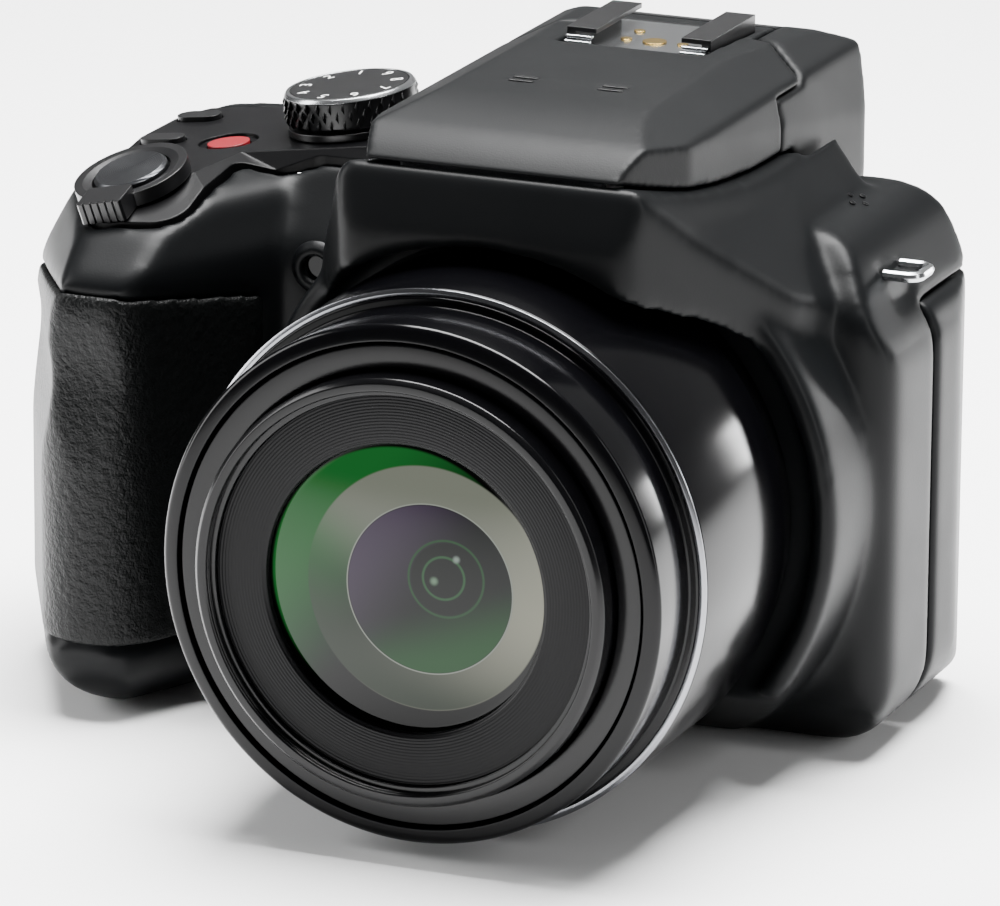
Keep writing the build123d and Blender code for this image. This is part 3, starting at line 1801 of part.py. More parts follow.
front_cover, rear_cover, top_cover = covers()
nodes = {
    "front_cover": front_cover,
    "rear_cover": rear_cover,
    "top_cover": top_cover,
    "grip_rubber": grip_rubber(),
    "evf_housing": largest(evf_housing()),
    "evf_module": evf_module(),
    "eyepiece_lens": eyepiece_lens(),
    "eyecup": eyecup(),
    "flash_hinge_pin": hinge_pin(),
    "flash_head": largest(flash_head()),
    "flash_window": flash_window(),
    "flash_reflector": flash_reflector(),
    "shoe_plate": shoe_plate(),
    "shoe_rails": shoe_rails(),
    "shoe_contacts": shoe_contacts(),
    "fixed_barrel": fixed_barrel(),
    "chrome_ring": chrome_ring(),
    "middle_barrel": middle_barrel(),
    "front_barrel": front_barrel(),
    "name_ring": name_ring(),
    "front_lens": front_lens(),
    "inner_lens": inner_lens(),
    "mode_dial": mode_dial(),
    "dial_face": dial_face(),
    "power_lever": power_lever(),
    "zoom_lever": zoom_lever(),
    "shutter_button": shutter_button(),
    "record_button": record_button(),
    "function_button_front": deck_slot(
        function_x, function_front_y, function_length, function_width, button_low, function_high
    ),
    "function_button_rear": deck_slot(
        function_x, function_rear_y, function_length, function_width, button_low, function_high
    ),
    "thumb_dial": thumb_dial(),
    "viewfinder_button": back_disc(viewfinder_x, viewfinder_z, round_button_radius, back_rise),
    "lock_button": back_disc(lock_x, lock_z, lock_radius, back_rise),
    "play_button": back_disc(play_x, play_z, round_button_radius, back_rise),
    "display_button": back_disc(display_x, display_z, round_button_radius, back_rise),
    "erase_button": back_disc(erase_x, erase_z, round_button_radius, back_rise),
    "set_key": back_disc(pad_x, pad_z, set_radius, back_rise),
    "left_key": pad_key(0),
    "up_key": pad_key(90),
    "right_key": pad_key(180),
    "down_key": pad_key(270),
    "diopter_dial": diopter_disc(diopter_radius, diopter_thickness - button_gap),
    "lcd_window": lcd_window(),
    "lcd_panel": lcd_panel(),
    "chassis": chassis(),
    "main_board": main_board(),
    "image_sensor": image_sensor(),
    "zoom_motor": zoom_motor(),
    "flash_capacitor": flash_capacitor(),
    "speaker": speaker(),
    "tripod_nut": tripod_nut(),
    "cover_screws": cover_screws(),
    "strap_eyelets": strap_eyelets(),
    "af_lamp_window": af_lamp_window(),
    "battery_compartment": battery_compartment(),
    "battery": battery(),
    "memory_card": memory_card(),
    "battery_door": battery_door(),
    "battery_latch": battery_latch(),
    "terminal_door": terminal_door(),
}

os.makedirs("parts", exist_ok=True)
for name, shape in nodes.items():
    export_step(shape, f"parts/{name}.step")
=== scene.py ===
import bpy, bmesh, json, math
from mathutils import Matrix, Vector

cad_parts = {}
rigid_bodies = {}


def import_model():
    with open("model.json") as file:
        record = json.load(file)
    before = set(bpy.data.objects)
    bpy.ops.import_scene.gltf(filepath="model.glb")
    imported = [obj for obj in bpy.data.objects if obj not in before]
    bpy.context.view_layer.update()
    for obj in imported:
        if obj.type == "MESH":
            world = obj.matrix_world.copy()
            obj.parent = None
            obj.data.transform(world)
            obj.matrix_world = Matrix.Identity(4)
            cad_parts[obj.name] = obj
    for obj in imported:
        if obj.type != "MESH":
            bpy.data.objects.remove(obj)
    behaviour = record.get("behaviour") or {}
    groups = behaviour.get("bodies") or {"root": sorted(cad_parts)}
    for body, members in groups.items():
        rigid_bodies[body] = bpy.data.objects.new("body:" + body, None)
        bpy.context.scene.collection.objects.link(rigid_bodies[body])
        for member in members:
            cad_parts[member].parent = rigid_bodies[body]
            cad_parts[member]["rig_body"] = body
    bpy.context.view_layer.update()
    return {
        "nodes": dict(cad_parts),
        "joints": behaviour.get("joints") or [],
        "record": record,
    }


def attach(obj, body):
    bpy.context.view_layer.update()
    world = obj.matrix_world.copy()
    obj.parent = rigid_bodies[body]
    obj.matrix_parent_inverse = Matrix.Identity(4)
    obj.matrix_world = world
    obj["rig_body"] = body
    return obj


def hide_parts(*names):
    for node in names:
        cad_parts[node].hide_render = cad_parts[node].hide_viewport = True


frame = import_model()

nodes = frame["nodes"]
subparts = {part["node"]: part for part in frame["record"]["subparts"]}
joints = {joint["name"]: joint for joint in frame["joints"]}
mm = 0.001

# The reach within which points of turned pieces are merged, and the angle past which an edge stays sharp
merge_reach = 0.0005 * mm
crease_angle = math.radians(40)

# Height of the optical axis over the base, in mm
lens_height = 37.5

# How far a finish rounds the look of an edge, and how finely that is worked out
mould_edge = 0.35 * mm
rubber_edge = 0.4 * mm
turned_edge = 0.15 * mm
plated_edge = 0.1 * mm
steel_edge = 0.12 * mm
edge_samples = 6

# Patches in which a surface is a little more or less rough
moulded_patch = 14 * mm
plain_patch = 9 * mm


def colour(code):
    """An sRGB hex colour as linear values."""
    parts = [int(code[i:i + 2], 16) / 255 for i in (1, 3, 5)]
    return [c / 12.92 if c <= 0.04045 else ((c + 0.055) / 1.055) ** 2.4 for c in parts] + [1.0]


def add(tree, kind, inputs=None, **settings):
    """One node with its settings; an input given as another node's output is linked."""
    item = tree.nodes.new(kind)
    for key, value in settings.items():
        setattr(item, key, value)
    for key, value in (inputs or {}).items():
        if isinstance(value, bpy.types.NodeSocket):
            tree.links.new(value, item.inputs[key])
        else:
            item.inputs[key].default_value = value
    return item


def material(name, base, roughness, **inputs):
    """A principled material; returns it with its tree and shader for the pattern nodes."""
    made = bpy.data.materials.new(name)
    made.use_nodes = True
    tree = made.node_tree
    tree.nodes.clear()
    shader = add(tree, "ShaderNodeBsdfPrincipled", {"Base Color": colour(base), "Roughness": roughness})
    for key, value in inputs.items():
        shader.inputs[key.replace("_", " ")].default_value = value
    add(tree, "ShaderNodeOutputMaterial", {"Surface": shader.outputs[0]})
    return made, tree, shader


def place(tree, size):
    """Object coordinates counted in a real size, in metres."""
    where = add(tree, "ShaderNodeTexCoord").outputs["Object"]
    return add(tree, "ShaderNodeMapping", {"Vector": where, "Scale": (1 / size,) * 3}).outputs[0]


def reach_from(tree, centre, plane):
    """How far each point is from a centre, seen square to the plane whose two axes are ones."""
    where = add(tree, "ShaderNodeTexCoord").outputs["Object"]
    local = add(tree, "ShaderNodeVectorMath", {0: where, 1: centre}, operation="SUBTRACT")
    flat = add(tree, "ShaderNodeVectorMath", {0: local.outputs[0], 1: plane}, operation="MULTIPLY")
    return add(tree, "ShaderNodeVectorMath", {0: flat.outputs[0]}, operation="LENGTH").outputs["Value"]


def relief(tree, shader, height, depth, edge):
    """Fine relief of a depth, over edges that look rounded."""
    soft = add(tree, "ShaderNodeBevel", {"Radius": edge}, samples=edge_samples)
    inputs = {"Height": height, "Distance": depth, "Strength": 1.0, "Normal": soft.outputs[0]}
    bump = add(tree, "ShaderNodeBump", inputs)
    tree.links.new(bump.outputs[0], shader.inputs["Normal"])


def uneven(tree, shader, patch, detail, low, high):
    """Roughness that drifts between two values in patches."""
    noise = add(tree, "ShaderNodeTexNoise", {"Vector": place(tree, patch), "Scale": 1.0, "Detail": detail})
    spread = add(tree, "ShaderNodeMapRange", {"Value": noise.outputs[0], "To Min": low, "To Max": high})
    tree.links.new(spread.outputs[0], shader.inputs["Roughness"])


def moulded(name, base, roughness, grain, depth, **inputs):
    """A moulded skin; the grain that it has from its mould is drawn coarser than real so that it shows."""
    made, tree, shader = material(name, base, roughness, **inputs)
    noise = add(tree, "ShaderNodeTexNoise", {"Vector": place(tree, grain), "Scale": 1.0, "Detail": 3.0})
    relief(tree, shader, noise.outputs[0], depth, mould_edge)
    uneven(tree, shader, moulded_patch, 4.0, roughness - 0.05, roughness + 0.07)
    return made


def leather_rubber():
    """Elastomer from a mould with a leather grain: dull, with a soft glint on each pebble."""
    made, tree, shader = material("TPE, moulded leather grain", "#060707", 0.4, Specular_IOR_Level=0.14)
    pebble = 1.15 * mm
    wander = 2.2 * mm
    pores = 0.35 * mm
    depth = 0.15 * mm
    warp = add(tree, "ShaderNodeTexNoise", {"Vector": place(tree, wander), "Scale": 1.0, "Detail": 2.0})
    moved = add(
        tree,
        "ShaderNodeVectorMath",
        {0: place(tree, pebble), 1: warp.outputs["Color"]},
        operation="ADD",
    )
    cells = add(
        tree,
        "ShaderNodeTexVoronoi",
        {"Vector": moved.outputs[0], "Scale": 1.0, "Smoothness": 0.6},
        feature="SMOOTH_F1",
    )
    fine = add(tree, "ShaderNodeTexNoise", {"Vector": place(tree, pores), "Scale": 1.0, "Detail": 2.0})
    height = add(
        tree,
        "ShaderNodeMath",
        {0: cells.outputs["Distance"], 1: -1.0, 2: fine.outputs[0]},
        operation="MULTIPLY_ADD",
    )
    relief(tree, shader, height.outputs[0], depth, rubber_edge)
    return made


def turned_grooves(name, base, roughness, pitch, depth, centre, plane, **inputs):
    """A face with fine rings about a centre, drawn wider than the real ones so that they show."""
    made, tree, shader = material(name, base, roughness, **inputs)
    reach = reach_from(tree, centre, plane)
    phase = add(tree, "ShaderNodeMath", {0: reach, 1: 2 * math.pi / pitch}, operation="MULTIPLY")
    wave = add(tree, "ShaderNodeMath", {0: phase.outputs[0]}, operation="SINE")
    relief(tree, shader, wave.outputs[0], depth, turned_edge)
    return made


def plain(name, base, roughness, edge=0.2 * mm, **inputs):
    """A smooth finish with slightly rounded edges and faint unevenness."""
    made, tree, shader = material(name, base, roughness, **inputs)
    uneven(tree, shader, plain_patch, 5.0, max(roughness - 0.04, 0.01), roughness + 0.04)
    soft = add(tree, "ShaderNodeBevel", {"Radius": edge}, samples=edge_samples)
    tree.links.new(soft.outputs[0], shader.inputs["Normal"])
    return made


def coated_glass():
    """Multi-coated glass seen down its barrel: dark, with painted green and violet reflections and painted
    highlights that glow by emission, under a gloss.
    """
    made, tree, shader = material("Optical glass, painted reflections", "#000000", 0.03, Specular_IOR_Level=0.18)

    def ring(x, z, inner, outer, blur):
        """One between two circles about a place beside the optical axis, in mm, and nothing elsewhere."""
        reach = reach_from(tree, (x * mm, 0, (lens_height + z) * mm), (1, 0, 1))
        sides = []
        for edge, before, after in ((inner, 0, 1), (outer, 1, 0)):
            limits = {"Value": reach, "From Min": (edge - blur) * mm, "From Max": (edge + blur) * mm}
            limits["To Min"] = before
            limits["To Max"] = after
            side = add(tree, "ShaderNodeMapRange", limits, interpolation_type="SMOOTHSTEP")
            sides.append(side.outputs[0])
        return add(tree, "ShaderNodeMath", {0: sides[0], 1: sides[1]}, operation="MULTIPLY").outputs[0]

    def ramp(x0, z0, x1, z1):
        """A rise across the glass from nothing at one place to one at another, in mm."""
        line = Vector((x1 - x0, 0, z1 - z0))
        where = add(tree, "ShaderNodeTexCoord").outputs["Object"]
        start = (x0 * mm, 0, (lens_height + z0) * mm)
        local = add(tree, "ShaderNodeVectorMath", {0: where, 1: start}, operation="SUBTRACT")
        slope = line / line.length_squared / mm
        share = add(tree, "ShaderNodeVectorMath", {0: local.outputs[0], 1: slope}, operation="DOT_PRODUCT")
        rise = add(
            tree, "ShaderNodeMapRange", {"Value": share.outputs["Value"]}, interpolation_type="SMOOTHSTEP"
        )
        return rise.outputs[0]

    # Painted reflections of the inner elements, from the front element inwards: colour; x, z, inner and outer
    # radius and blur of a ring; and its ramp, a painted fall of light across it.
    # A ring whose inner radius is less than nothing is a disc; the last two discs are painted highlights.
    disc = -1.0
    painted_reflections = [
        ("#2c8a3c", (-0.6, 0.4, disc, 18.6, 0.2), (-4.0, -8.0, -17.0, 4.0)),
        ("#a3a898", (2.9, 0.4, disc, 16.6, 0.15), (-14.0, 2.0, -9.0, 13.0)),
        ("#d6d6c0", (2.9, 0.4, disc, 16.6, 0.15), (2.0, 6.0, 16.0, -8.0)),
        ("#4a5646", (2.9, 0.4, disc, 16.6, 0.15), (-3.0, 6.0, -9.0, -12.0)),
        ("#04100a", (3.7, 0.6, disc, 11.6, 0.08), None),
        ("#1a6a26", (3.7, 0.6, disc, 11.4, 0.15), (0.0, -2.0, 3.0, -10.5)),
        ("#5c4a66", (3.7, 0.6, disc, 11.4, 0.2), (5.0, 0.0, -5.0, 8.0)),
        ("#c9d0c2", (3.7, 0.6, 11.45, 11.62, 0.05), None),
        ("#2c6a36", (6.2, 2.4, 5.0, 5.3, 0.12), None),
        ("#0b150d", (6.2, 2.4, disc, 4.9, 0.3), None),
        ("#3f7d49", (5.9, 2.5, 2.7, 3.0, 0.12), None),
        ("#9cc3a0", (4.6, 2.0, disc, 0.45, 0.35), None),
        ("#bcd2c4", (7.6, 5.2, disc, 0.4, 0.3), None),
    ]
    painted_glow = add(tree, "ShaderNodeRGB").outputs[0]
    painted_glow.default_value = colour("#030403")
    for code, circle, painted_light_ramp in painted_reflections:
        mask = ring(*circle)
        if painted_light_ramp:
            mask = add(tree, "ShaderNodeMath", {0: mask, 1: ramp(*painted_light_ramp)}, operation="MULTIPLY").outputs[0]
        painted_glow = add(tree, "ShaderNodeMix", {0: mask, 6: painted_glow, 7: colour(code)}, data_type="RGBA").outputs[2]
    # The painted reflections and highlights glow by emission, so the glass lights itself
    tree.links.new(painted_glow, shader.inputs["Emission Color"])
    shader.inputs["Emission Strength"].default_value = 0.5
    return made


# Body: the grain of the mould breaks each highlight into a soft sheen
shell = moulded(
    "ABS, spark-eroded black moulding",
    "#08090a",
    roughness=0.38,
    grain=0.28 * mm,
    depth=0.012 * mm,
    Specular_IOR_Level=0.1,
)

# Lid of the flash and viewfinder housing: a deeper grain, duller and a little paler than the body
lid_shell = moulded(
    "ABS, spark-eroded dark grey moulding",
    "#090a0b",
    roughness=0.46,
    grain=0.25 * mm,
    depth=0.02 * mm,
    Specular_IOR_Level=0.1,
)

# Deck: the shallowest grain, so that it shines a little more than the body
deck_shell = moulded(
    "ABS, fine black moulding of the deck",
    "#060607",
    roughness=0.34,
    grain=0.25 * mm,
    depth=0.008 * mm,
    Specular_IOR_Level=0.12,
)

# Eyecup and terminal door: soft and matt, with hardly a highlight
rubber_skin = moulded(
    "Silicone rubber, matt eyecup",
    "#0e0e0f",
    roughness=0.6,
    grain=0.4 * mm,
    depth=0.01 * mm,
    Specular_IOR_Level=0.3,
)

# Grip: dull pebbled leather
grip_skin = leather_rubber()

# Outer barrel: a polished mould leaves it near black, with long narrow streaks of light
barrel_skin = plain("Polycarbonate, satin black barrel", "#030304", 0.15, Specular_IOR_Level=0.16)

# Inner barrels, and the units inside: as the outer barrel, with wider and softer streaks
inner_skin = plain("Polycarbonate, satin black inner barrel", "#040405", 0.2, Specular_IOR_Level=0.22)

# Ring round the front glass: light runs round its rings in faint arcs
ring_face = turned_grooves(
    "Name ring, matt black with turned rings",
    "#050506",
    roughness=0.36,
    pitch=0.42 * mm,
    depth=0.012 * mm,
    centre=(0, 0, lens_height * mm),
    plane=(1, 0, 1),
    Specular_IOR_Level=0.12,
)

# Shutter button: dark metal with a faint ringed sheen; its axis is the zoom lever's
shutter_skin = turned_grooves(
    "Aluminium, turned and black anodised",
    "#3a3b3d",
    roughness=0.3,
    pitch=0.3 * mm,
    depth=0.01 * mm,
    centre=joints["zoom_lever_turn"]["pos_m"],
    plane=(1, 1, 0),
    Metallic=0.9,
)

# Lens ring: plating that mirrors the room in a thin bright line
chrome = plain("Chromium plate on the lens ring", "#85868a", 0.2, edge=plated_edge, Metallic=1.0)

# Shoe plate and springs, eyelets, screws and dial line: pale metal with a soft mirror
steel = plain("Stainless steel, bright plated", "#b9bbbd", 0.22, edge=steel_edge, Metallic=1.0)

# Dials, levers and rails: a dark dyed skin with a clean sheen
black_metal = plain("Aluminium, black anodised", "#0c0c0d", 0.3, Specular_IOR_Level=0.4)

# Keys and latch: smooth faces with a short highlight on their rims
button_skin = plain("ABS, satin black key", "#0c0c0d", 0.33, Specular_IOR_Level=0.3)

# Record key: deep red with a glossy top
red_skin = plain("ABS, gloss red key", "#6e0c16", 0.3)

# Windows of the screen and the focus lamp: a sharp gloss over darkness; the same dark gloss paints the shadow
# inside the speaker holes and the lid's slots
screen_and_hole_shade_skin = plain("Dark gloss: screen glass and painted hole shadows", "#030304", 0.06, Specular_IOR_Level=0.15)

# Contacts: small warm glints
gilt = plain("Brass contact, gilded", "#c8a860", 0.25, Metallic=1.0)

# Circuit board: even dark green
board_skin = plain("Fibreglass board, green solder mask", "#123c26", 0.4)

# Battery, memory card and capacitor: even dark grey
case_skin = plain("ABS, smooth dark case", "#202124", 0.4)

# Frame plate: grey metal with a wide soft sheen
frame_skin = plain("Aluminium sheet, stamped", "#9a9b9d", 0.35, Metallic=1.0)

# Reflector of the flash: clean white
white_skin = plain("Polycarbonate, white reflector", "#e6e6e4", 0.3)

# Figures of the dial: flat white
ink = plain("Pad-printed white ink", "#e8e8e6", 0.5)

# Front glass: dark depth with painted coloured reflections and highlights that glow by emission
painted_glass_skin = coated_glass()

# Other lenses and windows: what lies behind shows through a gloss
clear_skin = plain("Acrylic, clear window", "#b8bcc0", 0.08, Transmission_Weight=0.7)

finishes = {
    "body_shell": shell,
    "flash_lid": lid_shell,
    "deck": deck_shell,
    "grip_rubber": grip_skin,
    "lens_barrel": barrel_skin,
    "inner_barrel": inner_skin,
    "name_ring": ring_face,
    "chrome": chrome,
    "clear_glass": clear_skin,
    "coated_glass": clear_skin,
    "black_metal": black_metal,
    "dial_face": black_metal,
    "button": button_skin,
    "red_button": red_skin,
    "eyecup": rubber_skin,
    "steel": steel,
    "frame_metal": frame_skin,
    "brass": gilt,
    "circuit_board": board_skin,
    "white_plastic": white_skin,
    "battery_case": case_skin,
}
for node, part in subparts.items():
    skins = nodes[node].data.materials
    skins.clear()
    skins.append(finishes[part["material_slot"]])

# Nodes that look other than the rest of their slot
for node, skin in (
    ("lcd_window", screen_and_hole_shade_skin),
    ("af_lamp_window", screen_and_hole_shade_skin),
    ("shoe_rails", black_metal),
    ("shutter_button", shutter_skin),
):
    nodes[node].data.materials[0] = skin


def finished(name, mesh, skin, body, replaced=()):
    """A piece from a mesh: linked, painted, riding on its body."""
    piece = bpy.data.objects.new(name, mesh)
    bpy.context.scene.collection.objects.link(piece)
    mesh.materials.clear()
    mesh.materials.append(skin)
    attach(piece, body)
    if replaced:
        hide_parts(*replaced)


def closed_up(mesh):
    """Merges doubled points, turns the faces outwards, and shades smooth except over creases."""
    form = bmesh.new()
    form.from_mesh(mesh)
    bmesh.ops.remove_doubles(form, verts=form.verts, dist=merge_reach)
    bmesh.ops.dissolve_degenerate(form, edges=form.edges, dist=merge_reach)
    bmesh.ops.delete(form, geom=[e for e in form.edges if not e.link_faces], context="EDGES")
    bmesh.ops.recalc_face_normals(form, faces=form.faces)
    form.to_mesh(mesh)
    form.free()
    mesh.shade_smooth()
    mesh.set_sharp_from_angle(angle=crease_angle)


def rounded(points, reach):
    """An outline with each corner rounded over a reach, or less where its sides are short."""
    most_of_side = 0.4
    done = []
    for i, point in enumerate(points):
        here, before, after = Vector(point), Vector(points[i - 1]), Vector(points[(i + 1) % len(points)])
        cut = min(reach, most_of_side * (before - here).length, most_of_side * (after - here).length)
        start = here + (before - here).normalized() * cut
        end = here + (after - here).normalized() * cut
        for t in (0.0, 0.33, 0.67, 1.0):
            done.append(start * (1 - t) ** 2 + here * 2 * t * (1 - t) + end * t * t)
    return done


def turned(name, points, where, reach, steps=192):
    """A mesh turned about the Z axis of a frame from an outline of radius and height, in mm."""
    outline = rounded(points, reach) if reach else points
    count = len(outline)
    spots = []
    for step in range(steps):
        angle = 2 * math.pi * step / steps
        for radius, height in outline:
            spot = Vector((radius * math.cos(angle), radius * math.sin(angle), height)) * mm
            spots.append(where @ spot)
    faces = [
        (
            step * count + i,
            step * count + (i + 1) % count,
            (step + 1) % steps * count + (i + 1) % count,
            (step + 1) % steps * count + i,
        )
        for step in range(steps)
        for i in range(count)
    ]
    mesh = bpy.data.meshes.new(name)
    mesh.from_pydata(spots, [], faces)
    closed_up(mesh)
    return mesh


def joint_frame(name):
    """The frame of a joint: its place, with Z along its axis."""
    joint = joints[name]
    turn = Vector((0, 0, 1)).rotation_difference(Vector(joint["axis"]))
    return Matrix.Translation(Vector(joint["pos_m"])) @ turn.to_matrix().to_4x4()


def plain_mesh(holder):
    """An object's mesh with its modifiers applied; the object is removed."""
    graph = bpy.context.evaluated_depsgraph_get()
    mesh = bpy.data.meshes.new_from_object(holder.evaluated_get(graph))
    bpy.data.objects.remove(holder)
    return mesh


def moulded_round(node, voxel, rounds):
    """A copy of a CAD node as an even skin with every edge rounded, as a mould leaves them."""
    form = bmesh.new()
    form.from_mesh(nodes[node].data)
    bmesh.ops.remove_doubles(form, verts=form.verts, dist=2 * merge_reach)
    start = bpy.data.meshes.new(node)
    form.to_mesh(start)
    form.free()
    holder = bpy.data.objects.new(node + "_source", start)
    bpy.context.scene.collection.objects.link(holder)
    even = holder.modifiers.new("even", "REMESH")
    even.mode = "VOXEL"
    even.voxel_size = voxel
    even.adaptivity = 0.0
    soften = holder.modifiers.new("soften", "SMOOTH")
    soften.factor = 0.5
    soften.iterations = rounds
    mesh = plain_mesh(holder)
    mesh.shade_smooth()
    return mesh


def lettering(body, height, raised, where):
    """A plain number as a thin mesh, its middle at a frame's origin and its face up."""
    text = bpy.data.curves.new("figure", "FONT")
    text.body = body
    text.size = height
    text.extrude = raised
    text.align_x = "CENTER"
    text.align_y = "CENTER"
    holder = bpy.data.objects.new("figure", text)
    mesh = bpy.data.meshes.new_from_object(holder)
    bpy.data.objects.remove(holder)
    mesh.transform(where)
    return mesh


def joined(name, meshes):
    """One mesh made of several."""
    form = bmesh.new()
    for mesh in meshes:
        form.from_mesh(mesh)
    whole = bpy.data.meshes.new(name)
    form.to_mesh(whole)
    form.free()
    return whole


def cuboid(low, high, edge):
    """A box between two corners, in mm, with bevelled edges."""
    form = bmesh.new()
    bmesh.ops.create_cube(form, size=1.0)
    size = Vector(high) - Vector(low)
    for vert in form.verts:
        vert.co = Vector(low) + Vector((vert.co[k] + 0.5) * size[k] for k in range(3))
    bmesh.ops.bevel(form, geom=form.edges, offset=edge, segments=2, profile=0.5, affect="EDGES")
    mesh = bpy.data.meshes.new("box")
    form.to_mesh(mesh)
    form.free()
    mesh.transform(Matrix.Scale(mm, 4))
    return mesh


def pin(middle, aim, radius, depth):
    """A short round pin with its middle at a place, along a direction, in mm."""
    form = bmesh.new()
    bmesh.ops.create_cone(form, cap_ends=True, segments=24, radius1=radius, radius2=radius, depth=depth)
    turn = aim.to_track_quat("Z", "Y").to_matrix().to_4x4()
    placed = Matrix.Scale(mm, 4) @ Matrix.Translation(middle) @ turn
    bmesh.ops.transform(form, matrix=placed, verts=form.verts)
    mesh = bpy.data.meshes.new("pin")
    form.to_mesh(mesh)
    form.free()
    return mesh


def knurl(name, sizes, where, skin):
    """Rows of small pyramids round a wheel, by a node group that is then made a plain mesh."""
    group = bpy.data.node_groups.new(name, "GeometryNodeTree")
    group.interface.new_socket("Geometry", in_out="OUTPUT", socket_type="NodeSocketGeometry")
    identifiers = {}
    for label, value in sizes.items():
        kind = "NodeSocketInt" if isinstance(value, int) else "NodeSocketFloat"
        socket = group.interface.new_socket(label, in_out="INPUT", socket_type=kind)
        identifiers[label] = socket.identifier
    given = group.nodes.new("NodeGroupInput").outputs
    base = add(group, "ShaderNodeCombineXYZ", {"Z": given["First row"]})
    rise = add(group, "ShaderNodeCombineXYZ", {"Z": given["Row step"]})
    line = add(
        group,
        "GeometryNodeMeshLine",
        {"Count": given["Rows"], "Start Location": base.outputs[0], "Offset": rise.outputs[0]},
    )
    circle = add(
        group, "GeometryNodeMeshCircle", {"Vertices": given["Around"], "Radius": given["Wheel radius"]}
    )
    index = add(group, "GeometryNodeInputIndex")
    odd = add(group, "ShaderNodeMath", {0: index.outputs[0], 1: 2.0}, operation="MODULO")
    half = add(group, "ShaderNodeMath", {0: math.pi, 1: given["Around"]}, operation="DIVIDE")
    twist = add(group, "ShaderNodeMath", {0: odd.outputs[0], 1: half.outputs[0]}, operation="MULTIPLY")
    turn = add(group, "ShaderNodeCombineXYZ", {"Z": twist.outputs[0]})
    rings = add(
        group,
        "GeometryNodeInstanceOnPoints",
        {"Points": line.outputs[0], "Instance": circle.outputs[0], "Rotation": turn.outputs[0]},
    )
    spots = add(group, "GeometryNodeRealizeInstances", {0: rings.outputs[0]})
    spot = add(group, "GeometryNodeInputPosition")
    outward = add(group, "ShaderNodeVectorMath", {0: spot.outputs[0], 1: (1, 1, 0)}, operation="MULTIPLY")
    aim = add(
        group,
        "FunctionNodeAlignRotationToVector",
        {"Vector": outward.outputs[0]},
        axis="Z",
        pivot_axis="Z",
    )
    level = add(
        group,
        "FunctionNodeAlignRotationToVector",
        {"Rotation": aim.outputs[0], "Vector": (0, 0, 1)},
        axis="X",
    )
    cone = add(
        group,
        "GeometryNodeMeshCone",
        {"Vertices": 4, "Radius Bottom": given["Stud radius"], "Depth": given["Stud height"]},
    )
    studs = add(
        group,
        "GeometryNodeInstanceOnPoints",
        {"Points": spots.outputs[0], "Instance": cone.outputs["Mesh"], "Rotation": level.outputs[0]},
    )
    real = add(group, "GeometryNodeRealizeInstances", {0: studs.outputs[0]})
    painted = add(group, "GeometryNodeSetMaterial", {"Geometry": real.outputs[0], "Material": skin})
    add(group, "NodeGroupOutput", {0: painted.outputs[0]})
    holder = bpy.data.objects.new(name, bpy.data.meshes.new(name))
    bpy.context.scene.collection.objects.link(holder)
    change = holder.modifiers.new("studs", "NODES")
    change.node_group = group
    for label, value in sizes.items():
        change[identifiers[label]] = value
    mesh = plain_mesh(holder)
    mesh.transform(where)
    return mesh


# Moulded shells, lid, housing and grip, each with the size of its even mesh in mm and its rounds of smoothing
for node, voxel, rounds in (
    ("front_cover", 0.74, 24),
    ("grip_rubber", 0.6, 14),
    ("rear_cover", 0.95, 10),
    ("flash_head", 0.42, 8),
    ("evf_housing", 0.6, 8),
):
    slot = subparts[node]["material_slot"]
    mesh = moulded_round(node, voxel * mm, rounds)
    finished(node + "_soft", mesh, finishes[slot], nodes[node]["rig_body"], [node])

# Lens: radii about the optical axis and places along it, in mm, negative towards the subject
lens_frame = Matrix.Translation((0, 0, lens_height * mm)) @ Matrix.Rotation(-math.pi / 2, 4, "X")
barrel_edge = 0.3
fine_edge = 0.12

# Outer barrel: a nose that flares a little, the seat of the bright ring, the body, the neck and the tail
nose_y = -80.4
nose_bore = 33.1
nose_lip_radius = 34.9
nose_radius = 35.4
nose_lip_depth = 0.4
nose_flare_depth = 0.9
hoop_radius = 35.0
hoop_y = -69.6
seat_y = -68.8
seat_radius = 36.3
ring_y = -68.0
barrel_radius = 37.3
barrel_end_y = -39.3
barrel_bevel = 0.9
neck_radius = 36.0
neck_end_y = -33.6
floor_y = -34.45
tail_radius = 29.3
tail_bore = 27.0
tail_end_y = -3.0
outer_barrel = [
    (nose_bore, nose_y),
    (nose_lip_radius, nose_y + nose_lip_depth),
    (nose_radius, nose_y + nose_flare_depth),
    (hoop_radius, hoop_y),
    (hoop_radius, seat_y),
    (seat_radius, seat_y),
    (seat_radius, ring_y),
    (barrel_radius, ring_y),
    (barrel_radius, barrel_end_y),
    (barrel_radius - barrel_bevel, barrel_end_y + barrel_bevel),
    (neck_radius, barrel_end_y + barrel_bevel),
    (neck_radius, neck_end_y),
    (tail_radius, neck_end_y),
    (tail_radius, tail_end_y),
    (tail_bore, tail_end_y),
    (tail_bore, floor_y),
    (nose_bore, floor_y),
]

# Middle barrel: a tube with a narrower mouth
middle_radius = 32.75
middle_bore = 31.0
mouth_bore = 29.45
middle_front_y = -79.9
middle_end_y = -34.8
mouth_depth = 2.4
middle_tube = [
    (mouth_bore, middle_front_y),
    (middle_radius, middle_front_y),
    (middle_radius, middle_end_y),
    (middle_bore, middle_end_y),
    (middle_bore, middle_front_y + mouth_depth),
    (mouth_bore, middle_front_y + mouth_depth),
]

